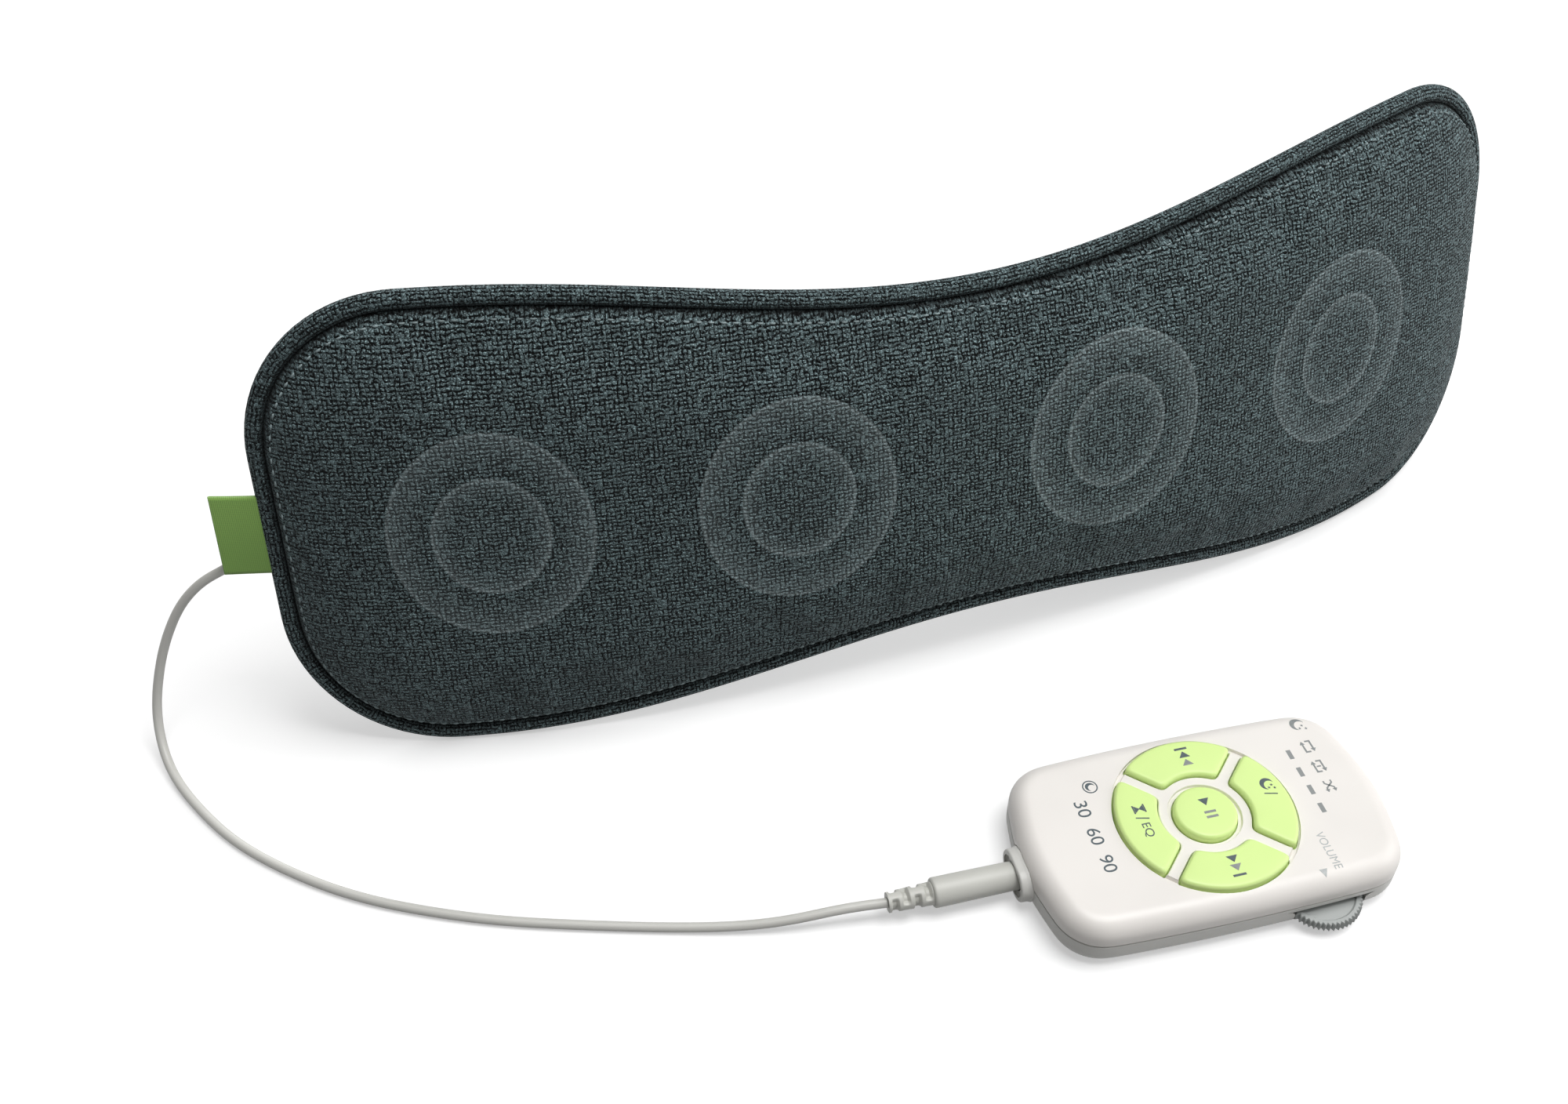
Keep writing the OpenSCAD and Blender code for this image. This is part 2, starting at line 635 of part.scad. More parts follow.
module ring_key(turn) color("greenyellow") in_remote() rotate(turn + spoke_turn) {
    loft([for (l = key_levels()) sector(l[0], l[1])]);
    rotate(45) translate([stem_ring_r, 0, stem_up]) cylinder(r = stem_r, h = skirt_up - skirt_t - stem_up);
}
module key_next() ring_key(180);
module key_previous() ring_key(0);
module key_timer() ring_key(90);
module key_sleep() ring_key(-90);
module key_play() color("greenyellow") in_remote() rotate_extrude() polygon(concat(
    [[0, stem_up], [stem_r, stem_up], [stem_r, skirt_up - skirt_t],
     [centre_r + skirt_w, skirt_up - skirt_t], [centre_r + skirt_w, skirt_up], [centre_r, skirt_up]],
    [for (k = [0 : 3]) [centre_r - key_round * (1 - cos(30 * k)), key_top - key_round * (1 - sin(30 * k))]],
    [[0, key_top]]));

// The groove around the ring runs a little past the apertures.
groove_gap = 0.25;
window_size = [1.1, 2.6];
window_along = 25.8;
window_first = -4.6;
window_pitch = 5.1;
module at_windows() for (k = [0 : 3])
    translate([window_along, window_first + k * window_pitch, remote_height - roof_t / 2]) children();

module remote_upper_shell() color("linen") in_remote() difference() {
    union() {
        difference() {
            remote_body(upper_levels(0, remote_height, upper_round));
            remote_body([for (l = upper_levels(shell_wall, remote_height - roof_t, cavity_round))
                         [l[0], l[1] == parting_up ? parting_up - past : l[1]]]);
        }
        at_screws() translate([0, 0, parting_up])
            cylinder(r = boss_r, h = remote_height - roof_t / 2 - parting_up);
    }
    at_screws() translate([0, 0, parting_up - past])
        cylinder(r = screw_r + thread_gap, h = screw_top + screw_end_gap - parting_up + past);
    for (q = [0 : 3]) rotate(spoke_turn + 90 * q) translate([0, 0, remote_height - roof_t - past])
        linear_extrude(roof_t + 2 * past) polygon([for (p = sector(-key_gap, 0)) [p[0], p[1]]]);
    translate([0, 0, remote_height - roof_t - past]) cylinder(r = centre_r + key_gap, h = roof_t + 2 * past);
    translate([0, 0, remote_height - recess_depth]) cylinder(r = recess_r, h = recess_depth + past);
    translate([0, 0, remote_height - recess_depth]) difference() {
        cylinder(r = ring_r + key_gap + groove_gap, h = recess_depth + past);
        translate([0, 0, -past]) cylinder(r = ring_r - key_gap, h = recess_depth + 3 * past);
    }
    at_windows() cube([window_size[0], window_size[1], roof_t + 2 * past], center = true);
    collar(collar_gap, shell_wall + past);
}

module indicator_windows() color("silver") in_remote() at_windows()
    cube([window_size[0], window_size[1], roof_t], center = true);

// The thumbwheel is a toothed disc on the potentiometer's axle, with a shallow dish around its hub.
dish_depth = 0.4;
dish_rim = 1;
hub_w = 1.4;
module volume_wheel() color("gray") in_remote() translate([wheel_x, wheel_y, wheel_up]) difference() {
    linear_extrude(wheel_t) polygon([for (k = [0 : 2 * wheel_teeth - 1])
        (wheel_r - (k % 2) * tooth_depth) * [cos(180 * k / wheel_teeth), sin(180 * k / wheel_teeth)]]);
    translate([0, 0, -past]) cylinder(r = axle_d / 2 + axle_gap, h = wheel_t + 2 * past);
    translate([0, 0, wheel_t - dish_depth]) difference() {
        cylinder(r = wheel_r - tooth_depth - dish_rim, h = dish_depth + past);
        translate([0, 0, -past]) cylinder(r = axle_d / 2 + hub_w, h = dish_depth + 3 * past);
    }
}
pot_size = [9, 7];
pot_gap = 0.15;
pot_up = wheel_up + wheel_t + pot_gap;
axle_reach = 0.2;
module volume_pot() color("dimgray") in_remote() translate([wheel_x, wheel_y, 0]) {
    translate([-pot_size[0] / 2, -axle_d / 2, pot_up]) cube([pot_size[0], pot_size[1], board_up - pot_up]);
    translate([0, 0, wheel_up - axle_reach]) cylinder(d = axle_d, h = pot_up - wheel_up + 2 * axle_reach);
}

pin_fit = 0.05;
module plug_socket() color("black") in_remote() difference() {
    socket_block();
    translate([socket_front - past, 0, jack_up]) rotate([0, 90, 0])
        cylinder(r = pin_d / 2 + pin_fit, h = socket_length);
}

port_wall = 0.3;
port_back = 1;
module charging_port() color("silver") in_remote() translate([port_along, port_front - port_depth, port_up])
    difference() {
        translate([-port_w / 2, 0, 0]) cube([port_w, port_depth, port_h]);
        translate([port_wall - port_w / 2, port_back, port_wall])
            cube([port_w - 2 * port_wall, port_depth, port_h - 2 * port_wall]);
    }

module circuit_board() color("seagreen") in_remote() difference() {
    translate([board_x, -board_width / 2, board_up]) cube([board_length, board_width, board_t]);
    translate([board_x - past, -socket_w / 2 - notch_gap, board_up - past]) cube([
        socket_front + socket_length + notch_gap - board_x + past,
        socket_w + 2 * notch_gap, board_t + 2 * past]);
    at_screws() translate([0, 0, board_up - past]) cylinder(r = boss_r + boss_gap, h = board_t + 2 * past);
}

module key_switches() color("dimgray") in_remote() {
    for (q = [0 : 3]) rotate(90 * q) translate([stem_ring_r, 0, board_up + board_t]) tact_switch();
    translate([0, 0, board_up + board_t]) tact_switch();
}
switch_w = 4.4;
plunger_r = 1.1;
plunger_h = 0.5;
module tact_switch() {
    translate([-switch_w / 2, -switch_w / 2, 0]) cube([switch_w, switch_w, switch_h - plunger_h]);
    cylinder(r = plunger_r, h = switch_h);
}

module battery() color("steelblue") in_remote()
    translate([-battery_length / 2 - battery_shift, -battery_width / 2, floor_t])
        cube([battery_length, battery_width, battery_t]);

drive_size = [0.5, 2.2];
drive_depth = 0.5;
module shell_screws() color("silver") in_remote() at_screws() {
    translate([0, 0, counterbore_depth - head_h]) difference() {
        cylinder(r = head_r, h = head_h);
        for (a = [0, 90]) rotate(a) cube([drive_size[0], drive_size[1], 2 * drive_depth], center = true);
    }
    translate([0, 0, counterbore_depth]) cylinder(r = screw_r, h = screw_top - counterbore_depth);
}

// The plug lies on one axis with its socket.
nose_x = -end_wall - collar_reach + nose_inset;
module on_plug_axis(x) in_remote() translate([x, 0, jack_up]) rotate([0, -90, 0]) children();
nose_ease = 0.3;
tail_ease = 0.6;
module plug_grip() color("silver") on_plug_axis(nose_x) rotate_extrude() polygon([
    [0, 0], [grip_d / 2 - nose_ease, 0], [grip_d / 2, nose_ease], [grip_tail_d / 2, grip_length - tail_ease],
    [grip_tail_d / 2 - tail_ease, grip_length], [0, grip_length]]);

// Pairs of slots leave a strip across the strain relief, turned by a quarter from rib to rib.
rib_pitch = relief_length / relief_ribs;
relief_core = cord_d / 2 + 0.2;
module strain_relief() color("silver") on_plug_axis(nose_x - grip_length) difference() {
    cylinder(d1 = relief_root_d, d2 = relief_tip_d, h = relief_length);
    for (k = [0 : relief_ribs - 1], a = [0, 180]) rotate(a + 90 * (k % 2))
        translate([relief_core, -relief_root_d / 2, (k + 0.45) * rib_pitch - relief_slot / 2])
            cube([relief_root_d / 2, relief_root_d, relief_slot]);
}

// The pin has a grooved tip that clicks into the socket.
tip_length = 1.5;
tip_r = 0.6;
groove_depth = 0.5;
groove_w = 1.1;
module plug_pin() color("gold") on_plug_axis(nose_x) rotate_extrude() polygon([
    [0, 0], [pin_d / 2, 0], [pin_d / 2, tip_length + groove_w - pin_length],
    [pin_d / 2 - groove_depth, tip_length + groove_w / 2 - pin_length],
    [pin_d / 2, tip_length - pin_length], [tip_r, -pin_length], [0, -pin_length]]);

// Route of the cord, from the gland down to the table, along it and up into the plug.
cord_start = pad_point(-gland_reach, gland_up, gland_n);
cord_end = from_remote([nose_x - grip_length - relief_length, 0, jack_up]);
cord_route = concat([cord_start], [
    [-150.3, -21.3, 51], [-152.4, -21.3, 50.3], [-154.5, -21.4, 49], [-156.8, -21.3, 47.1],
    [-160.3, -21.9, 45.6], [-163.3, -22.3, 43.3], [-166.9, -22.8, 39.7], [-169.9, -23.6, 35.5],
    [-172.7, -24.7, 30.2], [-175.1, -26.1, 25],
    [-176.9, -28, 19.2], [-178.4, -30.2, 13.5], [-178.6, -33.2, 8.5], [-177.4, -37.2, 4.8], [-175, -41.8, 2.4],
    [-171.4, -46.6, 1.3], [-166, -52.2, 1.1], [-160.8, -57.2, 1.1], [-155.4, -61.6, 1.1], [-149.8, -65.2, 1.1],
    [-144, -68.4, 1.1], [-138.2, -71.2, 1.1], [-132.2, -73.8, 1.1], [-126, -76, 1.1], [-119.8, -77.8, 1.1],
    [-113.6, -79.2, 1.1], [-107.4, -80.4, 1.1], [-101.4, -81.4, 1.1], [-95.4, -82.2, 1.1], [-89.4, -82.8, 1.1],
    [-83.4, -83.2, 1.1], [-77.4, -83.5, 1.1], [-71.4, -83.8, 1.1], [-65.4, -84, 1.1], [-59.4, -84.2, 1.1],
    [-53.4, -84.3, 1.2], [-47.4, -84.4, 1.4], [-41.4, -84.3, 1.7], [-35.4, -84.1, 2.3], [-29.4, -83.6, 3.1],
    [-23.4, -82.7, 4], [-17.4, -81.5, 4.7]
], [cord_end]);

// A tube of eight sides along the route, with each ring square to the route at its point.
function unit(v) = v / norm(v);
function route_way(k) = let (last = len(cord_route) - 1)
    k == 0 ? [-cos(heading(0)), -sin(heading(0)), 0]
    : k == last ? [cos(remote_yaw), sin(remote_yaw), 0]
    : unit(cord_route[k + 1] - cord_route[k - 1]);
cord_sides = 8;
function cord_ring(k) = let (
        way = route_way(k), side = unit(cross(way, [0, 0, 1])), up = cross(side, way))
    [for (i = [0 : cord_sides - 1]) let (a = 360 * i / cord_sides)
     cord_route[k] + cord_d / 2 * (cos(a) * side - sin(a) * up)];
module cord_lead() color("lightgray") loft([for (k = [0 : len(cord_route) - 1]) cord_ring(k)]);

pad_front_cover();
pad_back_cover();
seam_welt();
foam_core();
label_tag();
cord_gland();
speaker_basket(0);  // speaker_basket_1
speaker_basket(1);  // speaker_basket_2
speaker_basket(2);  // speaker_basket_3
speaker_basket(3);  // speaker_basket_4
speaker_magnet(0);  // speaker_magnet_1
speaker_magnet(1);  // speaker_magnet_2
speaker_magnet(2);  // speaker_magnet_3
speaker_magnet(3);  // speaker_magnet_4
speaker_cone(0);  // speaker_cone_1
speaker_cone(1);  // speaker_cone_2
speaker_cone(2);  // speaker_cone_3
speaker_cone(3);  // speaker_cone_4
speaker_wiring();
remote_upper_shell();
remote_lower_shell();
key_previous();
key_next();
key_play();
key_timer();
key_sleep();
volume_wheel();
volume_pot();
plug_socket();
charging_port();
circuit_board();
key_switches();
battery();
indicator_windows();
shell_screws();
cord_lead();
plug_grip();
strain_relief();
plug_pin();
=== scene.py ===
"""Looks of a padded pillow speaker with a wired hand remote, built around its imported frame.

The pad stands on its long lower edge and bends, and the remote lies flat in front of it. Sizes are in
millimetres, and each mesh is scaled to metres when it is put in its place in the frame.
"""
import itertools
import logging
import math
from collections.abc import Callable, Iterator
from contextlib import contextmanager
from dataclasses import dataclass, field
from enum import Enum

import bmesh
import bpy
import numpy as np
from mathutils import Matrix, Vector


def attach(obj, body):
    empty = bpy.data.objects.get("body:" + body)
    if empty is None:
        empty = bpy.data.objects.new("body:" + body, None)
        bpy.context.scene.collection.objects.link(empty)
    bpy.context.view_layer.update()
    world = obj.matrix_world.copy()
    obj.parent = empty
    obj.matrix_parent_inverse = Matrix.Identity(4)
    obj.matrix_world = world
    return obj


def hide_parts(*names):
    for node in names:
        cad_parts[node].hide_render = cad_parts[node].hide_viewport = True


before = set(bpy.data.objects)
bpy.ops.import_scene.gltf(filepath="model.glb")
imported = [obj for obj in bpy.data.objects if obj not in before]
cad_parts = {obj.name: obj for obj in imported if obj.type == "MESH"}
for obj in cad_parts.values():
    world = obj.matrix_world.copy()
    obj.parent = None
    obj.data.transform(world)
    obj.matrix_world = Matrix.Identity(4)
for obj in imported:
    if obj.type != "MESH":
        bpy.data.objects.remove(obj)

LOG = logging.getLogger("sleep_headphones")
MM = 0.001
CLOTH_UV = "cloth"
SEAM = "seam"
WORLD = Matrix.Scale(MM, 4)


class Body(Enum):
    """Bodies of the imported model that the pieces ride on."""

    HEADPHONES = "headphones"
    PREVIOUS = "previous_key"
    NEXT = "next_key"
    PLAY = "play_key"
    TIMER = "timer_key"
    SLEEP = "sleep_key"
    DIAL = "volume_dial"


class Side(Enum):
    """The two faces of the pad, with the sign of their height over its middle plane."""

    FRONT = 1
    BACK = -1


class Sign(Enum):
    """Signs of two arrows."""

    REPEAT = "repeat"
    REPEAT_ONE = "repeat_one"
    SHUFFLE = "shuffle"


def add_object(name: str, data: bpy.types.ID) -> bpy.types.Object:
    """Makes an object of the data and links it to the scene."""
    made = bpy.data.objects.new(name, data)
    bpy.context.scene.collection.objects.link(made)
    return made


def read_points(mesh: bpy.types.Mesh) -> np.ndarray:
    """Points of a mesh, shape (count, 3)."""
    points = np.empty(len(mesh.vertices) * 3, np.float32)
    mesh.vertices.foreach_get("co", points)
    return points.reshape(-1, 3)


def run_along(line: np.ndarray) -> np.ndarray:
    """Length run from a line's first point to each of its points."""
    return np.concatenate([[0], np.cumsum(np.linalg.norm(np.diff(line, axis=0), axis=1))])


@dataclass
class MeshBuilder:
    """Gathers grids of quads, caps and rims as arrays, and makes one mesh of them."""

    points: list = field(default_factory=list)
    uvs: list = field(default_factory=list)
    seams: list = field(default_factory=list)
    faces: list = field(default_factory=list)
    corners: list = field(default_factory=list)
    count: int = 0

    def grid(self, points: np.ndarray, uv: np.ndarray | None = None, wrap_u: bool = False,
             wrap_v: bool = False, seam: np.ndarray | None = None) -> int:
        """Adds quads: quad (i, j) joins points (i, j), (i+1, j), (i+1, j+1) and (i, j+1).

        Args:
            points: array of shape (nu, nv, 3).
            uv: array of shape (nu, nv, 2), one longer along a wrapped side.
            wrap_u: joins the last row to the first.
            wrap_v: joins the last column to the first.
            seam: distance of each point from the seam, shape (nu, nv), for cloth; the cloth's colour
                darkens near the seam as painted shade.

        Returns:
            The index of the grid's first point.
        """
        nu, nv = points.shape[:2]
        uv = np.zeros((nu + 1, nv + 1, 2)) if uv is None else uv
        i, j = np.meshgrid(np.arange(nu - (not wrap_u)), np.arange(nv - (not wrap_v)), indexing="ij")
        ii = np.stack([i, i + 1, i + 1, i], -1).reshape(-1, 4)
        jj = np.stack([j, j, j + 1, j + 1], -1).reshape(-1, 4)
        start = self.count
        self.faces.extend((start + (ii % nu) * nv + jj % nv).tolist())
        self.corners.append(uv[ii, jj].reshape(-1, 2))
        self.points.append(points.reshape(-1, 3))
        self.uvs.append(uv[:nu, :nv].reshape(-1, 2))
        self.seams.append(np.zeros(nu * nv) if seam is None else seam.ravel())
        self.count += nu * nv
        return start

    def face(self, ring: np.ndarray) -> None:
        """Adds one face over the points with the given indices."""
        self.faces.append(ring.tolist())
        self.corners.append(np.concatenate(self.uvs)[ring])

    def rim(self, first: int, second: int, nu: int, nv: int) -> None:
        """Joins the borders of two open grids of the same size with quads.

        Args:
            first: index of the first grid's first point.
            second: index of the second grid's first point.
            nu: rows of both grids.
            nv: columns of both grids.
        """
        low = np.arange(nu - 1) * nv
        right = (nu - 1) * nv + np.arange(nv - 1)
        high = np.arange(nu - 1, 0, -1) * nv + nv - 1
        left = np.arange(nv - 1, 0, -1)
        ring = np.concatenate([low, right, high, left])
        after = np.roll(ring, -1)
        quads = np.stack([ring + first, after + first, after + second, ring + second], -1)
        self.faces.extend(quads.tolist())
        self.corners.append(np.concatenate(self.uvs)[quads].reshape(-1, 2))

    def loft(self, rings: np.ndarray, uv: np.ndarray | None = None) -> None:
        """Joins closed rings of points, shape (levels, around, 3), and closes both ends."""
        around = rings.shape[1]
        start = self.grid(rings, uv, wrap_v=True)
        self.face(start + np.arange(around))
        self.face(start + (rings.shape[0] - 1) * around + np.arange(around))

    def build(self, name: str, place: Matrix = WORLD, sharp: float = 40.0,
              longest: float = 0.0) -> bpy.types.Object:
        """Makes the object: doubles merged, faces turned outwards, smooth up to an angle.

        Args:
            name: the piece's name.
            place: matrix from the points' millimetres to the frame.
            sharp: angle in degrees from which an edge stays sharp.
            longest: longest edge allowed where it isn't 0; longer ones are split.

        Returns:
            The new object, at the origin, linked to the scene.
        """
        mesh = bpy.data.meshes.new(name)
        mesh.from_pydata(np.concatenate(self.points), [], self.faces)
        layer = mesh.uv_layers.new(name=CLOTH_UV)
        layer.data.foreach_set("uv", np.concatenate(self.corners).astype(np.float32).ravel())
        if any(part.any() for part in self.seams):
            distance = mesh.attributes.new(SEAM, "FLOAT", "POINT")
            distance.data.foreach_set("value", np.concatenate(self.seams).astype(np.float32))
        work = bmesh.new()
        work.from_mesh(mesh)
        bmesh.ops.remove_doubles(work, verts=work.verts, dist=1e-5)
        bmesh.ops.recalc_face_normals(work, faces=work.faces)
        if longest:
            self.split(work, longest)
        work.to_mesh(mesh)
        work.free()
        finish_mesh(mesh, place, sharp)
        return add_object(name, mesh)

    @staticmethod
    def split(work: bmesh.types.BMesh, longest: float) -> None:
        """Cuts the faces into triangles and halves their long edges, up to five times."""
        bmesh.ops.triangulate(work, faces=work.faces)
        for _ in range(5):
            edges = [edge for edge in work.edges if edge.calc_length() > longest]
            if not edges:
                return
            bmesh.ops.subdivide_edges(work, edges=edges, cuts=1)
            bmesh.ops.triangulate(work, faces=work.faces)


def lofted(name: str, rings: np.ndarray, place: Matrix = WORLD, sharp: float = 40.0,
           uv: np.ndarray | None = None) -> bpy.types.Object:
    """Makes an object of one closed loft, with the arguments of MeshBuilder.loft and build."""
    builder = MeshBuilder()
    builder.loft(rings, uv)
    return builder.build(name, place, sharp)


def finish_mesh(mesh: bpy.types.Mesh, place: Matrix, sharp: float) -> None:
    """Smooths a mesh up to an angle and puts it in its place.

    Args:
        mesh: the mesh to change.
        place: matrix applied to its points.
        sharp: angle in degrees from which an edge stays sharp.
    """
    mesh.polygons.foreach_set("use_smooth", np.ones(len(mesh.polygons), dtype=bool))
    mesh.set_sharp_from_angle(angle=math.radians(sharp))
    mesh.transform(place)
    mesh.update()


def carve(target: bpy.types.Object, cutter: bpy.types.Object, operation: str = "DIFFERENCE") -> None:
    """Applies one exact boolean to the target and deletes the cutter.

    Args:
        target: the object that is changed.
        cutter: the object that is taken away from it or joined to it.
        operation: DIFFERENCE or UNION.
    """
    modifier = target.modifiers.new("carve", "BOOLEAN")
    modifier.object = cutter
    modifier.operation = operation
    modifier.solver = "EXACT"
    bpy.context.view_layer.update()
    depsgraph = bpy.context.evaluated_depsgraph_get()
    result = bpy.data.meshes.new_from_object(target.evaluated_get(depsgraph))
    target.modifiers.clear()
    old, spent = target.data, cutter.data
    target.data = result
    bpy.data.meshes.remove(old)
    bpy.data.objects.remove(cutter)
    bpy.data.meshes.remove(spent)


def relax(ring: np.ndarray, passes: int) -> np.ndarray:
    """Eases the corners of a closed ring: each pass moves a point halfway to its neighbours' middle."""
    for _ in range(passes):
        ring = 0.5 * ring + 0.25 * (np.roll(ring, 1, axis=0) + np.roll(ring, -1, axis=0))
    return ring


def inset_ring(ring: np.ndarray, distance: float) -> np.ndarray:
    """Moves each point of an anticlockwise plane ring inwards, square to the ring's direction there."""
    way = np.roll(ring, -1, axis=0) - np.roll(ring, 1, axis=0)
    way /= np.linalg.norm(way, axis=1, keepdims=True)
    return ring + distance * np.stack([-way[:, 1], way[:, 0]], -1)


def at_level(ring: np.ndarray, z: float) -> np.ndarray:
    """Lifts a plane ring to a height."""
    return np.column_stack([ring, np.full(len(ring), z)])


def upright(ring: np.ndarray, x: float, up: float) -> np.ndarray:
    """Stands a plane ring square to the x axis, with its middle at (x, 0, up)."""
    return np.column_stack([np.full(len(ring), x), ring[:, 0], up + ring[:, 1]])


def rectangle(along: float, across: float) -> np.ndarray:
    """Anticlockwise plane rectangle about the origin."""
    return np.array([[-1, -1], [1, -1], [1, 1], [-1, 1]]) * (along / 2, across / 2)


def spun(ring: np.ndarray, degrees: float) -> np.ndarray:
    """Turns a plane ring about the origin."""
    a = math.radians(degrees)
    return ring @ np.array([[math.cos(a), math.sin(a)], [-math.sin(a), math.cos(a)]])


def circle(radius: float, count: int = 96, x: float = 0.0, y: float = 0.0) -> np.ndarray:
    """Anticlockwise plane circle."""
    a = np.linspace(0, 2 * math.pi, count, endpoint=False)
    return np.stack([x + radius * np.cos(a), y + radius * np.sin(a)], -1)


def fillet(radius: float, steps: int) -> np.ndarray:
    """Quarter round as pairs (inset, drop): radius times (1 - cos a, 1 - sin a) for a from 0 to 90."""
    a = np.linspace(0, math.pi / 2, steps + 1)
    return radius * np.stack([1 - np.cos(a), 1 - np.sin(a)], -1)


def operator(kind: str, flip: bool = False) -> Callable[..., "Value"]:
    """Makes a method that adds one kind of Math node.

    Args:
        kind: the node's operation.
        flip: puts the value itself last, for an operator with a plain number on its left.

    Returns:
        The method.
    """
    def method(value: "Value", *others: "Value | float") -> "Value":
        """Adds the node over the value and the other terms."""
        return value.tree.math(kind, *((*others, value) if flip else (value, *others)))
    return method


class Value:
    """A number of a node tree. Each operator adds a Math node, also with a plain number on its left."""

    def __init__(self, tree: "Tree", socket: bpy.types.NodeSocket) -> None:
        """Wraps a socket of a tree."""
        self.tree = tree
        self.socket = socket

    __add__ = __radd__ = operator("ADD")
    __sub__, __rsub__ = operator("SUBTRACT"), operator("SUBTRACT", flip=True)
    __mul__ = __rmul__ = operator("MULTIPLY")
    __truediv__ = operator("DIVIDE")
    __abs__, floor, root = operator("ABSOLUTE"), operator("FLOOR"), operator("SQRT")

    def above(self, low: float, high: float) -> "Value":
        """Eases from 0 at low to 1 at high along a smooth step."""
        node = self.tree.node("ShaderNodeMapRange", {"interpolation_type": "SMOOTHSTEP"},
                              {"Value": self, "From Min": low, "From Max": high})
        return Value(self.tree, node.outputs["Result"])


class Tree:
    """One material's node tree."""

    def __init__(self, name: str) -> None:
        """Starts an empty material with its output node."""
        self.material = bpy.data.materials.new(name)
        self.material.use_nodes = True
        self.nodes = self.material.node_tree.nodes
        self.nodes.clear()
        self.output = self.nodes.new("ShaderNodeOutputMaterial")

    def node(self, kind: str, settings: dict | None = None,
             inputs: dict | None = None) -> bpy.types.Node:
        """Adds a node of any type.

        Args:
            kind: the node's type name.
            settings: its properties, set first; stops gives a ramp's (place, colour) pairs.
            inputs: the values or links of its sockets, by name or number.

        Returns:
            The new node.
        """
        node = self.nodes.new(kind)
        for key, value in (settings or {}).items():
            if key == "stops":
                for k, (place, colour) in enumerate(value):
                    stop = node.color_ramp.elements[k] if k < 2 else node.color_ramp.elements.new(place)
                    stop.position, stop.color = place, colour
            else:
                setattr(node, key, value)
        for key, value in (inputs or {}).items():
            self.feed(node.inputs[key], value)
        return node

    def feed(self, socket: bpy.types.NodeSocket, value: object) -> None:
        """Links a value or an output to a socket, or sets a plain number, colour or vector."""
        if isinstance(value, Value):
            value = value.socket
        if isinstance(value, bpy.types.NodeSocket):
            self.material.node_tree.links.new(value, socket)
        elif isinstance(value, tuple) and socket.type == "RGBA":
            socket.default_value = (*value[:3], 1.0)
        else:
            socket.default_value = value

    def math(self, operation: str, *terms: object) -> Value:
        """Adds a Math node over its terms."""
        node = self.node("ShaderNodeMath", {"operation": operation}, dict(enumerate(terms)))
        return Value(self, node.outputs[0])

    def mix(self, share: object, first: object, second: object,
            blend: str = "MIX") -> bpy.types.NodeSocket:
        """Mixes two colours by a share of the second."""
        node = self.node("ShaderNodeMix", {"data_type": "RGBA", "blend_type": blend},
                         {0: share, 6: first, 7: second})
        return node.outputs[2]

    def place(self, cloth: bool = False) -> bpy.types.NodeSocket:
        """The point's place: the cloth's own UV map in millimetres, or Object coordinates in metres."""
        if cloth:
            return self.node("ShaderNodeUVMap", {"uv_map": CLOTH_UV}).outputs["UV"]
        return self.node("ShaderNodeTexCoord").outputs["Object"]

    def plane(self, vector: object) -> tuple[Value, Value]:
        """The first two parts of a vector."""
        parts = self.node("ShaderNodeSeparateXYZ", None, {0: vector}).outputs
        return Value(self, parts[0]), Value(self, parts[1])

    def stretch(self, vector: object, scale: tuple[float, float, float]) -> bpy.types.NodeSocket:
        """Multiplies a vector by a scale along each axis."""
        node = self.node("ShaderNodeVectorMath", {"operation": "MULTIPLY"}, {0: vector, 1: scale})
        return node.outputs[0]

    def noise(self, vector: object, scale: float, detail: float = 2.0, rough: float = 0.5) -> Value:
        """Soft noise from 0 to 1 with the given cells per unit."""
        node = self.node("ShaderNodeTexNoise", None,
                         {"Vector": vector, "Scale": scale, "Detail": detail, "Roughness": rough})
        return Value(self, node.outputs["Fac"])

    def bump(self, height: Value, strength: float, depth: float) -> bpy.types.NodeSocket:
        """Normal of a surface whose height, from 0 to 1, is worth depth metres."""
        node = self.node("ShaderNodeBump", None,
                         {"Height": height, "Strength": strength, "Distance": depth})
        return node.outputs["Normal"]

    def principled(self, inputs: dict) -> bpy.types.Material:
        """Ends the tree in a Principled shader with the given inputs and returns the material."""
        shader = self.node("ShaderNodeBsdfPrincipled", None, inputs)
        self.feed(self.output.inputs["Surface"], shader.outputs[0])
        return self.material


@dataclass(frozen=True)
class Finish:
    """A finish with one main colour, whose inputs feed a Principled shader.

    Attributes:
        name: the finish's name.
        colour: linear colour.
    """

    name: str
    colour: tuple[float, float, float]

    def shaded(self, share: float) -> tuple[float, float, float]:
        """The colour times a share, no lighter than white."""
        return tuple(min(1.0, share * c) for c in self.colour)

    def inputs(self, tree: Tree) -> dict:
        """Adds the finish's nodes and gives the shader's inputs."""
        raise NotImplementedError

    def material(self) -> bpy.types.Material:
        """Builds the node material."""
        tree = Tree(self.name)
        return tree.principled(self.inputs(tree))


@dataclass(frozen=True)
class MouldedPlastic(Finish):
    """Moulded plastic with a fine spark-eroded grain and faint cloudiness.

    Attributes:
        roughness: mean roughness.
        grain: depth of the grain in metres.
        clouds: share by which the colour wanders.
    """

    roughness: float = 0.42
    grain: float = 0.00003
    clouds: float = 0.03

    def inputs(self, tree: Tree) -> dict:
        """Grain of about 0.4 mm over clouds of about 30 mm."""
        place = tree.place()
        fine, broad = tree.noise(place, 2600.0, 3.0), tree.noise(place, 35.0)
        return {
            "Base Color": tree.mix(broad.above(0.3, 0.7), self.shaded(1 - self.clouds),
                                   self.shaded(1 + self.clouds)),
            "Roughness": self.roughness + 0.08 * (fine - 0.5),
            "Normal": tree.bump(fine, 0.35, self.grain),
        }


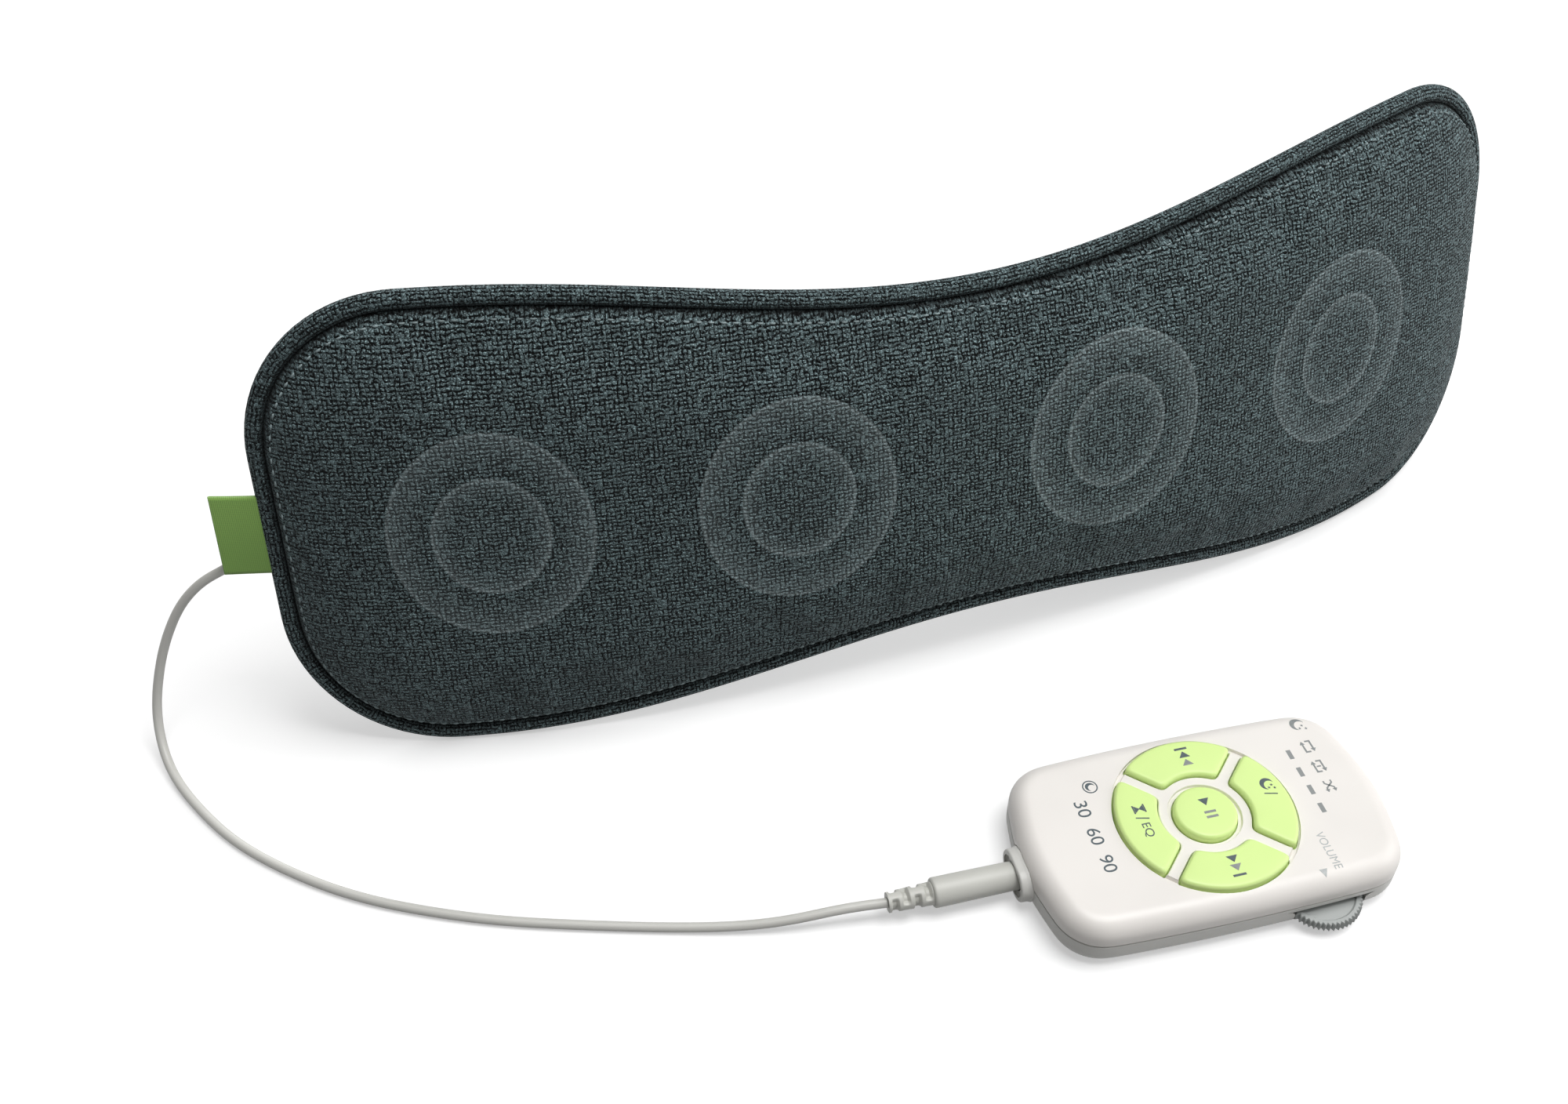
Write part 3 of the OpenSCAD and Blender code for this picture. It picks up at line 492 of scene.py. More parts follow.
@dataclass(frozen=True)
class CordPlastic(Finish):
    """Extruded cord jacket: satin, with faint lengthwise draw lines along its own UV map."""

    def inputs(self, tree: Tree) -> dict:
        """Lines drawn out 50 mm long and a third of a millimetre apart, over a fine grain."""
        lines = tree.noise(tree.stretch(tree.place(cloth=True), (0.02, 3.0, 1.0)), 1.0, 1.0)
        fine = tree.noise(tree.place(), 1800.0, 2.0)
        return {
            "Base Color": tree.mix(lines.above(0.3, 0.7), self.shaded(0.94), self.colour),
            "Roughness": 0.38 + 0.1 * (lines - 0.5),
            "Normal": tree.bump(lines * 0.7 + fine * 0.3, 0.25, 0.00002),
        }


@dataclass(frozen=True)
class Metal(Finish):
    """Plated or lacquered metal with fine streaks.

    Attributes:
        roughness: mean roughness.
        metallic: 1 for bare metal, less under lacquer.
    """

    roughness: float = 0.3
    metallic: float = 1.0

    def inputs(self, tree: Tree) -> dict:
        """Streaks ten times as long upright as across."""
        streaks = tree.noise(tree.stretch(tree.place(), (3000.0, 3000.0, 300.0)), 1.0, 2.0)
        return {
            "Base Color": tree.mix(streaks, self.shaded(0.8), self.colour),
            "Roughness": self.roughness + 0.12 * (streaks - 0.5),
            "Metallic": self.metallic,
            "Normal": tree.bump(streaks, 0.15, 0.00001),
        }


@dataclass(frozen=True)
class OpenFoam(Finish):
    """Open-cell foam with pores."""

    def inputs(self, tree: Tree) -> dict:
        """Pores of about 1 mm, with painted shade darkening their middles."""
        cells = tree.node("ShaderNodeTexVoronoi", None, {"Vector": tree.place(), "Scale": 900.0})
        pores = Value(tree, cells.outputs["Distance"]).above(0.1, 0.6)
        # Painted shade: each pore's middle darkens to 0.6 of the foam's colour.
        return {
            "Base Color": tree.mix(pores, self.shaded(0.6), self.colour),
            "Roughness": 0.95,
            "Normal": tree.bump(pores, 0.6, 0.0004),
        }


@dataclass(frozen=True)
class Ink(Finish):
    """Printed ink, a little uneven where it thins out."""

    def inputs(self, tree: Tree) -> dict:
        """Patches of about 0.7 mm, lighter where the ink is thin."""
        patch = tree.noise(tree.place(), 1500.0, 2.0)
        thin = tuple(min(1.0, 1.18 * c + 0.01) for c in self.colour)
        return {
            "Base Color": tree.mix(patch.above(0.35, 0.75), self.colour, thin),
            "Roughness": 0.45 + 0.1 * patch,
        }


@dataclass(frozen=True)
class WovenCloth(Finish):
    """Coarse plain weave along a piece's own UV map, which is in millimetres.

    The finish's colour is that of a yarn's top.

    Attributes:
        shade: linear colour of the yarn's flanks, painted shade that darkens them against the yarn's
            top.
        gap: linear colour between the yarns, near black as painted shade.
        pitch: width of one yarn along and up the cloth.
        wander: how far the yarns wander.
        depth: depth of the relief in metres.
        marks: draws the rings over the loudspeakers.
    """

    shade: tuple[float, float, float]
    gap: tuple[float, float, float]
    pitch: tuple[float, float] = (1.04, 0.94)
    wander: float = 0.36
    depth: float = 0.0014
    marks: "RingMarks | None" = None

    @staticmethod
    def dash(place: Value, low: float, toss: Value, chance: float) -> Value:
        """The gap along one side of a cell, in the cells whose toss is above a chance. Its mask paints
        the gap's shade into the colour.

        Args:
            place: place across the cell, from -0.5 at that side.
            low: share of the cell up to which the gap is at its darkest.
            toss: the cell's random number.
            chance: share of the cells without that gap.

        Returns:
            1 in the gap and 0 off it.
        """
        return (1.0 - (place + 0.5).above(low, low + 0.22)) * toss.above(chance, chance + 0.08)

    def inputs(self, tree: Tree) -> dict:
        """Yarns, gaps, flecks, the seam's painted shadow and the marks.

        A yarn's section is a half round across it, and its float rises and falls along it; its flanks
        are darkened with painted shade. Warp and weft change places from cell to cell as on a
        chessboard. By chance a cell has a gap at its left side, at its low side or at both, painted
        near black as shade, the low one as the shadow under a yarn, and noise frays the gaps into
        dashes. Near the seam the cloth is darkened with painted shade of the groove, and it is puckered
        and drawn into the groove.
        """
        uv = tree.place(cloth=True)
        u, v = tree.plane(uv)
        sway = tree.noise(uv, 0.6, 2.0)
        swing = tree.noise(tree.stretch(uv, (1.0, -1.0, 1.0)), 0.65, 2.0)
        a = (u + self.wander * 4 * (sway - 0.5)) / self.pitch[0]
        b = (v + self.wander * 4 * (swing - 0.5)) / self.pitch[1]
        column, row = a.floor(), b.floor()
        x, y = a - column - 0.5, b - row - 0.5
        turn = abs(tree.math("MODULO", column + row, 2.0)).above(0.4, 0.6)
        across, along = x + turn * (y - x), y + turn * (x - y)
        cell = tree.node("ShaderNodeCombineXYZ", None, {0: column, 1: row}).outputs[0]
        random = tree.node("ShaderNodeTexWhiteNoise", {"noise_dimensions": "2D"}, {"Vector": cell})
        toss = tree.node("ShaderNodeSeparateColor", None, {0: random.outputs["Color"]})
        bright, left_toss, low_toss = (Value(tree, socket) for socket in toss.outputs[:3])
        section = tree.math("MAXIMUM", 1.0 - 3.6 * across * across, 0.0).root()
        rise = tree.math("MAXIMUM", 1.0 - 2.4 * along * along, 0.0)
        height = section * rise
        fibres = tree.noise(uv, 2.9, 2.0, 0.9)
        patches = tree.noise(uv, 0.3, 3.0, 0.6)
        frayed = tree.noise(uv, 2.0, 1.0).above(0.34, 0.48)
        # Gap masks at the left and low sides of the cells; the gaps' dark colour is painted shade, the
        # low one the shadow under a yarn.
        left, low = self.dash(x, 0.20, left_toss, 0.40), self.dash(y, 0.30, low_toss, 0.16)
        hollow = tree.math("MAXIMUM", left, low) * frayed
        # Painted shade: the flanks take the darker flank colour and the gaps the near-black gap colour.
        body = tree.mix(hollow, tree.mix(height.above(0.0, 0.8), self.shade, self.colour), self.gap)
        tone = 0.05 + 0.4 * bright + 3.4 * fibres.above(0.47, 0.72) + 0.3 * patches
        seam = Value(tree, tree.node("ShaderNodeAttribute", {"attribute_name": SEAM}).outputs["Fac"])
        # Painted shade of the seam's groove: the colour falls to 0.16 of its tone at the seam and
        # recovers within 1.9 mm.
        tone = tone * (0.16 + 0.84 * seam.above(0.0, 1.9))
        grey = tree.node("ShaderNodeCombineColor", None, {0: tone, 1: tone, 2: tone}).outputs[0]
        colour = tree.mix(1.0, body, grey, "MULTIPLY")
        if self.marks is not None:
            colour = self.marks.over(tree, colour, u, v)
        pucker = tree.noise(tree.stretch(uv, (0.75, 0.16, 1.0)), 1.0, 1.0)
        pucker = pucker * (1.0 - seam.above(0.5, 6.0))
        relief = height * 0.22 + fibres * 0.06 - hollow * 0.16 + pucker * 0.65
        return {
            "Base Color": colour,
            "Roughness": 0.62 + 0.34 * hollow,
            "Sheen Weight": 0.07,
            "Sheen Roughness": 0.5,
            "Sheen Tint": (0.75, 0.85, 0.87),
            "Specular IOR Level": 0.2,
            "Normal": tree.bump(relief, 1.0, self.depth),
        }


@dataclass(frozen=True)
class RingMarks:
    """Pale rings over the loudspeakers: a thin outline at each radius and a veil that fades inwards.

    The four places are one: folding s twice about the row's middle and about the middle of a pair puts
    the nearest loudspeaker at 0.

    Attributes:
        middle: s at the middle of the row.
        inner: distance of the inner pair from it.
        outer: distance of the outer pair from it.
        height: t of the row.
        radii: the two radii of the marks.
        line: half the width of an outline.
        rise: height of a mark over its width.
        tint: linear colour of the marks.
    """

    middle: float
    inner: float
    outer: float
    height: float
    radii: tuple[float, float] = (22.6, 13.0)
    line: float = 0.42
    rise: float = 1.12
    tint: tuple[float, float, float] = (0.56, 0.66, 0.68)

    def over(self, tree: Tree, colour: bpy.types.NodeSocket, u: Value,
             v: Value) -> bpy.types.NodeSocket:
        """Lays the marks over a cloth's colour.

        Args:
            tree: the material's tree.
            colour: the cloth's colour.
            u: place along the pad.
            v: place up the pad.

        Returns:
            The colour with its marks.
        """
        x = abs(abs(u - self.middle) - (self.inner + self.outer) / 2) - (self.outer - self.inner) / 2
        y = (v - self.height) / self.rise
        far = (x * x + y * y).root()
        for radius in self.radii:
            edge = 1.0 - abs(far - (radius - self.line)).above(self.line * 0.4, self.line * 1.6)
            inside = 1.0 - far.above(radius - self.line, radius)
            veil = inside * (far.above(radius * 0.6, radius) * 0.12 + 0.01)
            colour = tree.mix(tree.math("MAXIMUM", edge * 0.28, veil), colour, self.tint)
        return colour


@dataclass(frozen=True)
class RibbonSatin(Finish):
    """Satin ribbon of the folded label, a shade darker towards its lower edge.

    Attributes:
        dark: linear colour at the lower edge.
        width: width of the ribbon in millimetres.
        rib: width of one rib.
        thread: width of one thread across the ribs.
    """

    dark: tuple[float, float, float]
    width: float
    rib: float = 0.42
    thread: float = 0.3

    def inputs(self, tree: Tree) -> dict:
        """Ribs along the ribbon's length, as sines, with threads across them and a little fuzz."""
        uv = tree.place(cloth=True)
        u, v = tree.plane(uv)
        ribs = tree.math("SINE", u * (2 * math.pi / self.rib)) * 0.5 + 0.5
        threads = tree.math("SINE", v * (2 * math.pi / self.thread)) * 0.5 + 0.5
        fuzz = tree.noise(uv, 3.0, 3.0)
        weave = ribs * 0.5 + threads * 0.3 + fuzz * 0.4
        blend = tree.mix((v / self.width).above(0.0, 1.0), self.dark, self.colour)
        shadow = tuple(0.72 * c for c in self.dark)
        return {
            "Base Color": tree.mix(weave.above(0.1, 0.75), shadow, blend),
            "Roughness": 0.55 + 0.15 * fuzz,
            "Sheen Weight": 0.3,
            "Normal": tree.bump(weave, 0.4, 0.00008),
        }


@dataclass(frozen=True)
class PadForm:
    """The pad's mapping from (s, t, n) to space, as in the model's source.

    s runs along the foot, whose heading grows by turn from the left end to the right, with gain towards
    both ends. t runs up the leaning face, and n out of its front.
    """

    length: float = 332.0
    height: float = 115.0
    corner: float = 37.0
    waist_length: float = 248.0
    top_dip: float = 12.0
    bottom_rise: float = 15.0
    welt: float = 4.0
    welt_thick: float = 3.8
    welt_round: float = 0.7
    cover: float = 1.0
    front_crown: float = 8.5
    back_crown: float = 6.5
    turn: float = 41.0
    gain: float = 17.0
    heading_mid: float = 19.0
    lean: float = 11.5
    foot_x: float = -144.8
    foot_y: float = -32.7
    foot_steps: int = 800

    def heading(self, s: np.ndarray) -> np.ndarray:
        """Heading of the foot in radians."""
        a = s / self.length - 0.5
        return np.radians(self.heading_mid + self.turn * a + self.gain * a * a)

    def point(self, s: np.ndarray, t: np.ndarray, n: np.ndarray) -> np.ndarray:
        """Points of the pad, shape (..., 3). Before s = 0 the foot goes on straight."""
        step = self.length / self.foot_steps
        mid = self.heading((np.arange(self.foot_steps) + 0.5) * step)
        along = np.arange(self.foot_steps + 1) * step
        run_x = self.foot_x + np.concatenate([[0], np.cumsum(step * np.cos(mid))])
        run_y = self.foot_y + np.concatenate([[0], np.cumsum(step * np.sin(mid))])
        held = np.clip(s, 0, self.length)
        h, lean = self.heading(held), math.radians(self.lean)
        back = t * math.sin(lean) - n * math.cos(lean)
        lift = (self.welt_thick / 2 - self.welt_round) * math.sin(lean)
        return np.stack([
            np.interp(held, along, run_x) - np.sin(h) * back + (s - held) * np.cos(h),
            np.interp(held, along, run_y) + np.cos(h) * back + (s - held) * np.sin(h),
            lift + t * math.cos(lean) + n * math.sin(lean)], -1)

    def waist(self, s: np.ndarray) -> np.ndarray:
        """Share of the waist: a squared cosine over its length."""
        off = (s - self.length / 2) / self.waist_length
        return np.where(np.abs(off) < 0.5, np.cos(math.pi * off) ** 2, 0.0)

    def corner_cut(self, s: np.ndarray, inset: np.ndarray) -> np.ndarray:
        """Height that a rounded corner takes off at s."""
        r = self.corner - inset
        d = np.maximum(0, np.minimum(s, self.length - s) - inset)
        return np.where(d < r, r - np.sqrt(np.maximum(0, r * r - (r - np.minimum(d, r)) ** 2)), 0.0)

    def low_edge(self, s: np.ndarray, inset: np.ndarray) -> np.ndarray:
        """t of the lower edge at an inset."""
        return inset + self.corner_cut(s, inset) + self.bottom_rise * self.waist(s)

    def high_edge(self, s: np.ndarray, inset: np.ndarray) -> np.ndarray:
        """t of the upper edge at an inset."""
        return self.height - inset - self.corner_cut(s, inset) - self.top_dip * self.waist(s)

    def columns(self, inset: float, at_corner: int, between: int) -> np.ndarray:
        """s of the columns: even angles round the corners, even lengths between them."""
        a = np.linspace(0, math.pi / 2, at_corner + 1)
        first = inset + (self.corner - inset) * (1 - np.cos(a))
        mid = np.linspace(self.corner, self.length - self.corner, between + 1)[1:-1]
        return np.concatenate([first, mid, self.length - first[::-1]])

    def panel(self, at_corner: int, between: int, rows: int) -> tuple[np.ndarray, np.ndarray]:
        """Grid of (s, t) inside the seam, with rows closer together near the edges."""
        s = np.repeat(self.columns(self.welt, at_corner, between)[:, None], rows + 1, axis=1)
        share = (1 - np.cos(np.linspace(0, math.pi, rows + 1))) / 2
        low, high = self.low_edge(s, self.welt), self.high_edge(s, self.welt)
        return s, low + share * (high - low)

    def swell(self, s: np.ndarray, t: np.ndarray) -> np.ndarray:
        """Swell of a panel: sqrt(1 - u^14) times (1 - v^4)^0.6, with u and v from -1 to 1."""
        u = np.clip(np.abs(2 * (s - self.welt) / (self.length - 2 * self.welt) - 1), 0, 1)
        low, high = self.low_edge(s, self.welt), self.high_edge(s, self.welt)
        v = np.clip(np.abs(2 * (t - low) / (high - low) - 1), 0, 1)
        return np.sqrt(1 - u ** 14) * (1 - v ** 4) ** 0.6

    def seam_distance(self, s: np.ndarray, t: np.ndarray) -> np.ndarray:
        """Distance of a point of a panel from the seam, as the least of those to its four sides."""
        ends = np.minimum(s, self.length - s) - self.welt
        low, high = self.low_edge(s, self.welt), self.high_edge(s, self.welt)
        near = np.minimum(t - low, high - t)
        r = self.corner - self.welt
        x = np.maximum(0, r - np.maximum(ends, 0))
        y = np.minimum(np.abs(t - self.low_edge(s, self.welt) + self.corner_cut(s, self.welt)),
                       np.abs(self.high_edge(s, self.welt) + self.corner_cut(s, self.welt) - t))
        y = np.maximum(0, r - y)
        arc = np.where((x > 0) & (y > 0), r - np.hypot(x, y), np.inf)
        return np.maximum(0, np.minimum(np.minimum(ends, near), arc))

    def edge_line(self, inset: np.ndarray, at_corner: int, between: int, rows: int) -> np.ndarray:
        """Closed line round the pad at an inset, shape (stations, 2), from the lower left corner on."""
        s = self.columns(inset, at_corner, between)
        rise = np.linspace(0, 1, rows + 1)[1:-1]
        ends = np.array([inset, self.length - inset])
        low, high = self.low_edge(ends, inset), self.high_edge(ends, inset)
        return np.concatenate([
            np.stack([s, self.low_edge(s, inset)], -1),
            np.stack([np.full(rows - 1, ends[1]), low[1] + rise * (high[1] - low[1])], -1),
            np.stack([s, self.high_edge(s, inset)], -1)[::-1],
            np.stack([np.full(rows - 1, ends[0]), high[0] + rise * (low[0] - high[0])], -1)])


@dataclass
class Pad:
    """The padded speaker: two crowned cloth panels, a turned welt, its stitches and a folded label."""

    form: PadForm = field(default_factory=PadForm)
    coarse: tuple[int, int, int] = (8, 60, 30)
    finer: int = 3
    edge_steps: tuple[int, int, int] = (20, 170, 36)
    billow_cap: float = 0.9
    pressure: float = 4.0
    slack: float = 0.02
    frames: int = 20
    row_shift: float = -8.0
    row_up: float = 3.0
    inner_pair: float = 39.0
    outer_pair: float = 107.0
    groove: float = 0.9
    groove_w: float = 1.3
    held: float = 2.5
    freed: float = 5.0
    welt_width: float = 4.2
    welt_power: float = 2.15
    stitch_inset: float = 2.1
    stitch_pitch: float = 2.7
    stitch_length: float = 1.7
    stitch_radius: float = 0.24
    tag_width: float = 19.5
    tag_up: float = 49.5
    tag_reach: float = 10.0
    tag_root: float = 2.4
    tag_n: float = 0.4
    tag_thick: float = 0.8
    ribbon: float = 0.3

    def build(self) -> None:
        """Makes and dresses every cloth piece of the pad."""
        middle = self.form.length / 2 + self.row_shift
        marks = RingMarks(middle, self.inner_pair, self.outer_pair, self.form.height / 2 + self.row_up)
        # Yarn top, then the painted shade of the yarn's flanks and of the gaps between the yarns.
        colours = (0.130, 0.182, 0.191), (0.036, 0.056, 0.061), (0.0002, 0.0012, 0.0015)
        self.panel(Side.FRONT, WovenCloth("charcoal_weave_marked", *colours, marks=marks).material())
        self.panel(Side.BACK, WovenCloth("charcoal_weave", *colours).material())
        self.edge(WovenCloth("charcoal_welt", *colours, pitch=(0.94, 0.92), wander=0.3).material())
        self.stitches()
        self.label()

    def billow(self, side: Side) -> np.ndarray:
        """Cloth pass over a panel that is held all round its seam.

        Args:
            side: the panel's side.

        Returns:
            How far each point of the coarse grid went out, in millimetres, within the cap.
        """
        form = self.form
        s, t = form.panel(*self.coarse)
        n = side.value * ((self.crown(side) - form.cover) * form.swell(s, t) + form.cover)
        start = form.point(s, t, n)
        builder = MeshBuilder()
        builder.grid(start if side is Side.FRONT else start[:, ::-1])
        mesh = bpy.data.meshes.new("billow")
        mesh.from_pydata(builder.points[0] * MM, [], builder.faces)
        cloth = add_object("billow", mesh)
        rows, across = s.shape
        index = np.arange(rows * across).reshape(rows, across)
        border = np.concatenate([index[0], index[-1], index[:, 0], index[:, -1]])
        group = cloth.vertex_groups.new(name="seam")
        group.add(np.unique(border).tolist(), 1.0, "REPLACE")
        settings = cloth.modifiers.new("cloth", "CLOTH").settings
        settings.vertex_group_mass = "seam"
        settings.use_pressure = True
        settings.uniform_pressure_force = self.pressure
        settings.shrink_min = -self.slack
        settings.effector_weights.gravity = 0
        settings.quality = 6
        scene = bpy.context.scene
        for frame_number in range(1, self.frames + 1):
            scene.frame_set(frame_number)
        moved = read_points(cloth.evaluated_get(bpy.context.evaluated_depsgraph_get()).data)
        scene.frame_set(1)
        bpy.data.objects.remove(cloth)
        bpy.data.meshes.remove(mesh)
        end = moved.reshape(rows, across, 3) / MM
        if side is Side.BACK:
            end = end[:, ::-1]
        out = form.point(s, t, n + side.value) - start
        travel = ((end - start) * out).sum(-1)
        return self.billow_cap * np.tanh(travel / self.billow_cap)

    def crown(self, side: Side) -> float:
        """Height of a panel's middle over the pad's middle plane."""
        return self.form.front_crown if side is Side.FRONT else self.form.back_crown

    def rise(self, side: Side, s: np.ndarray, t: np.ndarray) -> np.ndarray:
        """Height of a panel before its cloth pass: its crown, less a groove that fades off the seam."""
        form = self.form
        groove = self.groove * np.exp(-form.seam_distance(s, t) / self.groove_w)
        return (self.crown(side) - form.cover) * form.swell(s, t) + form.cover - groove

    def panel(self, side: Side, material: bpy.types.Material) -> None:
        form = self.form
        travel = self.billow(side)
        corner, between, rows = (k * self.finer for k in self.coarse)
        s, t = form.panel(corner, between, rows)
        for axis, count in ((0, 2 * corner + between), (1, rows)):
            coarse_at = np.arange(travel.shape[axis]) * self.finer
            fine_at = np.arange(count + 1)
            travel = np.apply_along_axis(lambda line: np.interp(fine_at, coarse_at, line), axis, travel)
        seam = form.seam_distance(s, t)
        height = self.rise(side, s, t) + travel * np.clip((seam - self.held) / self.freed, 0, 1)
        builder = MeshBuilder()
        uv = np.stack([s, t], -1)
        first = builder.grid(form.point(s, t, side.value * height), uv, seam=seam)
        second = builder.grid(form.point(s, t, side.value * (height - 0.9 * form.cover)), uv, seam=seam)
        builder.rim(first, second, *s.shape)
        name = f"{side.name.lower()}_panel"
        piece = builder.build(name, sharp=60.0)
        dress(piece, Body.HEADPHONES, "cover_fabric", material, f"pad_{side.name.lower()}_cover")

    def edge(self, material: bpy.types.Material) -> None:
        """Makes the welt: a rounded band swept once round the pad.

        Its section is a superellipse, |x|^p + |n|^p = 1, from the outer edge to just past the seam.
        """
        form, around = self.form, 28
        a = np.linspace(0, 2 * math.pi, around, endpoint=False)
        power = 2 / self.welt_power
        x = np.sign(np.cos(a)) * np.abs(np.cos(a)) ** power
        n = np.sign(np.sin(a)) * np.abs(np.sin(a)) ** power * form.welt_thick / 2
        inset = self.welt_width / 2 * (1 + x)
        lines = np.stack([form.edge_line(k, *self.edge_steps) for k in inset], 1)
        points = form.point(lines[..., 0], lines[..., 1], np.broadcast_to(n, lines.shape[:2]))
        ridge = points.mean(1)
        run = run_along(np.vstack([ridge, ridge[:1]]))
        girth = np.linspace(0, 2 * (self.welt_width + form.welt_thick) * 0.85, around + 1)
        uv = np.stack(np.meshgrid(run, girth, indexing="ij"), -1)
        builder = MeshBuilder()
        # Distance from the seam across the welt: its colour darkens towards its inner edge as painted
        # shade of the groove.
        rim = np.repeat(np.abs(inset[None, :] - self.welt_width) * 1.3, len(points), axis=0)
        builder.grid(points, uv, wrap_u=True, wrap_v=True, seam=rim)
        piece = builder.build("welt_band", sharp=70.0)
        dress(piece, Body.HEADPHONES, "welt_fabric", material, "seam_welt")

    def stitches(self) -> None:
        """Lays short stitches on each panel, a little inside its seam.

        A stitch follows the seam, sinks at both ends, and is round across its own way.
        """
        form = self.form
        line = form.edge_line(form.welt + self.stitch_inset, *self.edge_steps)
        closed = np.vstack([line, line[:1]])
        run = run_along(closed)
        count = int(run[-1] / self.stitch_pitch)
        lengths = np.linspace(-0.5, 0.5, 5)
        a = np.linspace(0, 2 * math.pi, 6, endpoint=False)
        thick = self.stitch_radius * np.sqrt(np.clip(1 - (2 * lengths) ** 4, 0.0, 1))[:, None]
        sunk = self.stitch_radius * (1.3 * (2 * lengths) ** 2 - 0.6)
        builder = MeshBuilder()
        for side in Side:
            for k in range(count):
                at = (k + 0.5) / count * run[-1] + lengths * self.stitch_length
                s, t = (np.interp(at, run, closed[:, axis], period=run[-1]) for axis in (0, 1))
                ds, dt = s[-1] - s[0], t[-1] - t[0]
                off = thick * np.cos(a) / math.hypot(ds, dt)
                n = side.value * ((self.rise(side, s, t) - sunk)[:, None] + thick * np.sin(a))
                builder.grid(form.point(s[:, None] - dt * off, t[:, None] + ds * off, n), wrap_v=True)
        piece = builder.build("seam_stitches", sharp=80.0)
        thread = MouldedPlastic("stitch_thread", (0.24, 0.30, 0.31), 0.8, 0.00005, 0.25).material()
        dress(piece, Body.HEADPHONES, "welt_fabric", thread)

    def label(self) -> None:
        """Makes the folded label: a ribbon that leaves the seam, turns back on itself and returns."""
        half = (self.tag_thick - self.ribbon) / 2
        mid = self.tag_n + self.tag_thick / 2
        run = np.linspace(self.tag_root - 0.2, half - self.tag_reach, 22)
        a = np.linspace(math.pi / 2, 3 * math.pi / 2, 11)[1:-1]
        s = np.concatenate([run, half - self.tag_reach + half * np.cos(a), run[::-1]])
        n = np.concatenate([np.full_like(run, mid + half), mid + half * np.sin(a),
                            np.full_like(run, mid - half)])
        length = np.concatenate([[0], np.cumsum(np.hypot(np.diff(s), np.diff(n)))])
        w = np.linspace(0, self.tag_width, 25)
        s2, w2 = np.meshgrid(s, w, indexing="ij")
        out = np.clip(-s2 / self.tag_reach, 0, 1)
        curl = -0.5 * out ** 2 * (w2 / self.tag_width - 0.3)
        builder = MeshBuilder()
        uv = np.stack(np.meshgrid(length, w, indexing="ij"), -1)
        builder.grid(self.form.point(s2, self.tag_up + w2, n[:, None] + curl), uv)
        piece = builder.build("folded_label", sharp=80.0)
        wall = piece.modifiers.new("ribbon", "SOLIDIFY")
        wall.thickness = self.ribbon * MM
        wall.offset = 0
        satin = RibbonSatin("green_ribbon", (0.340, 0.610, 0.130), (0.235, 0.440, 0.085),
                            self.tag_width)
        dress(piece, Body.HEADPHONES, "tag_ribbon", satin.material(), "label_tag")


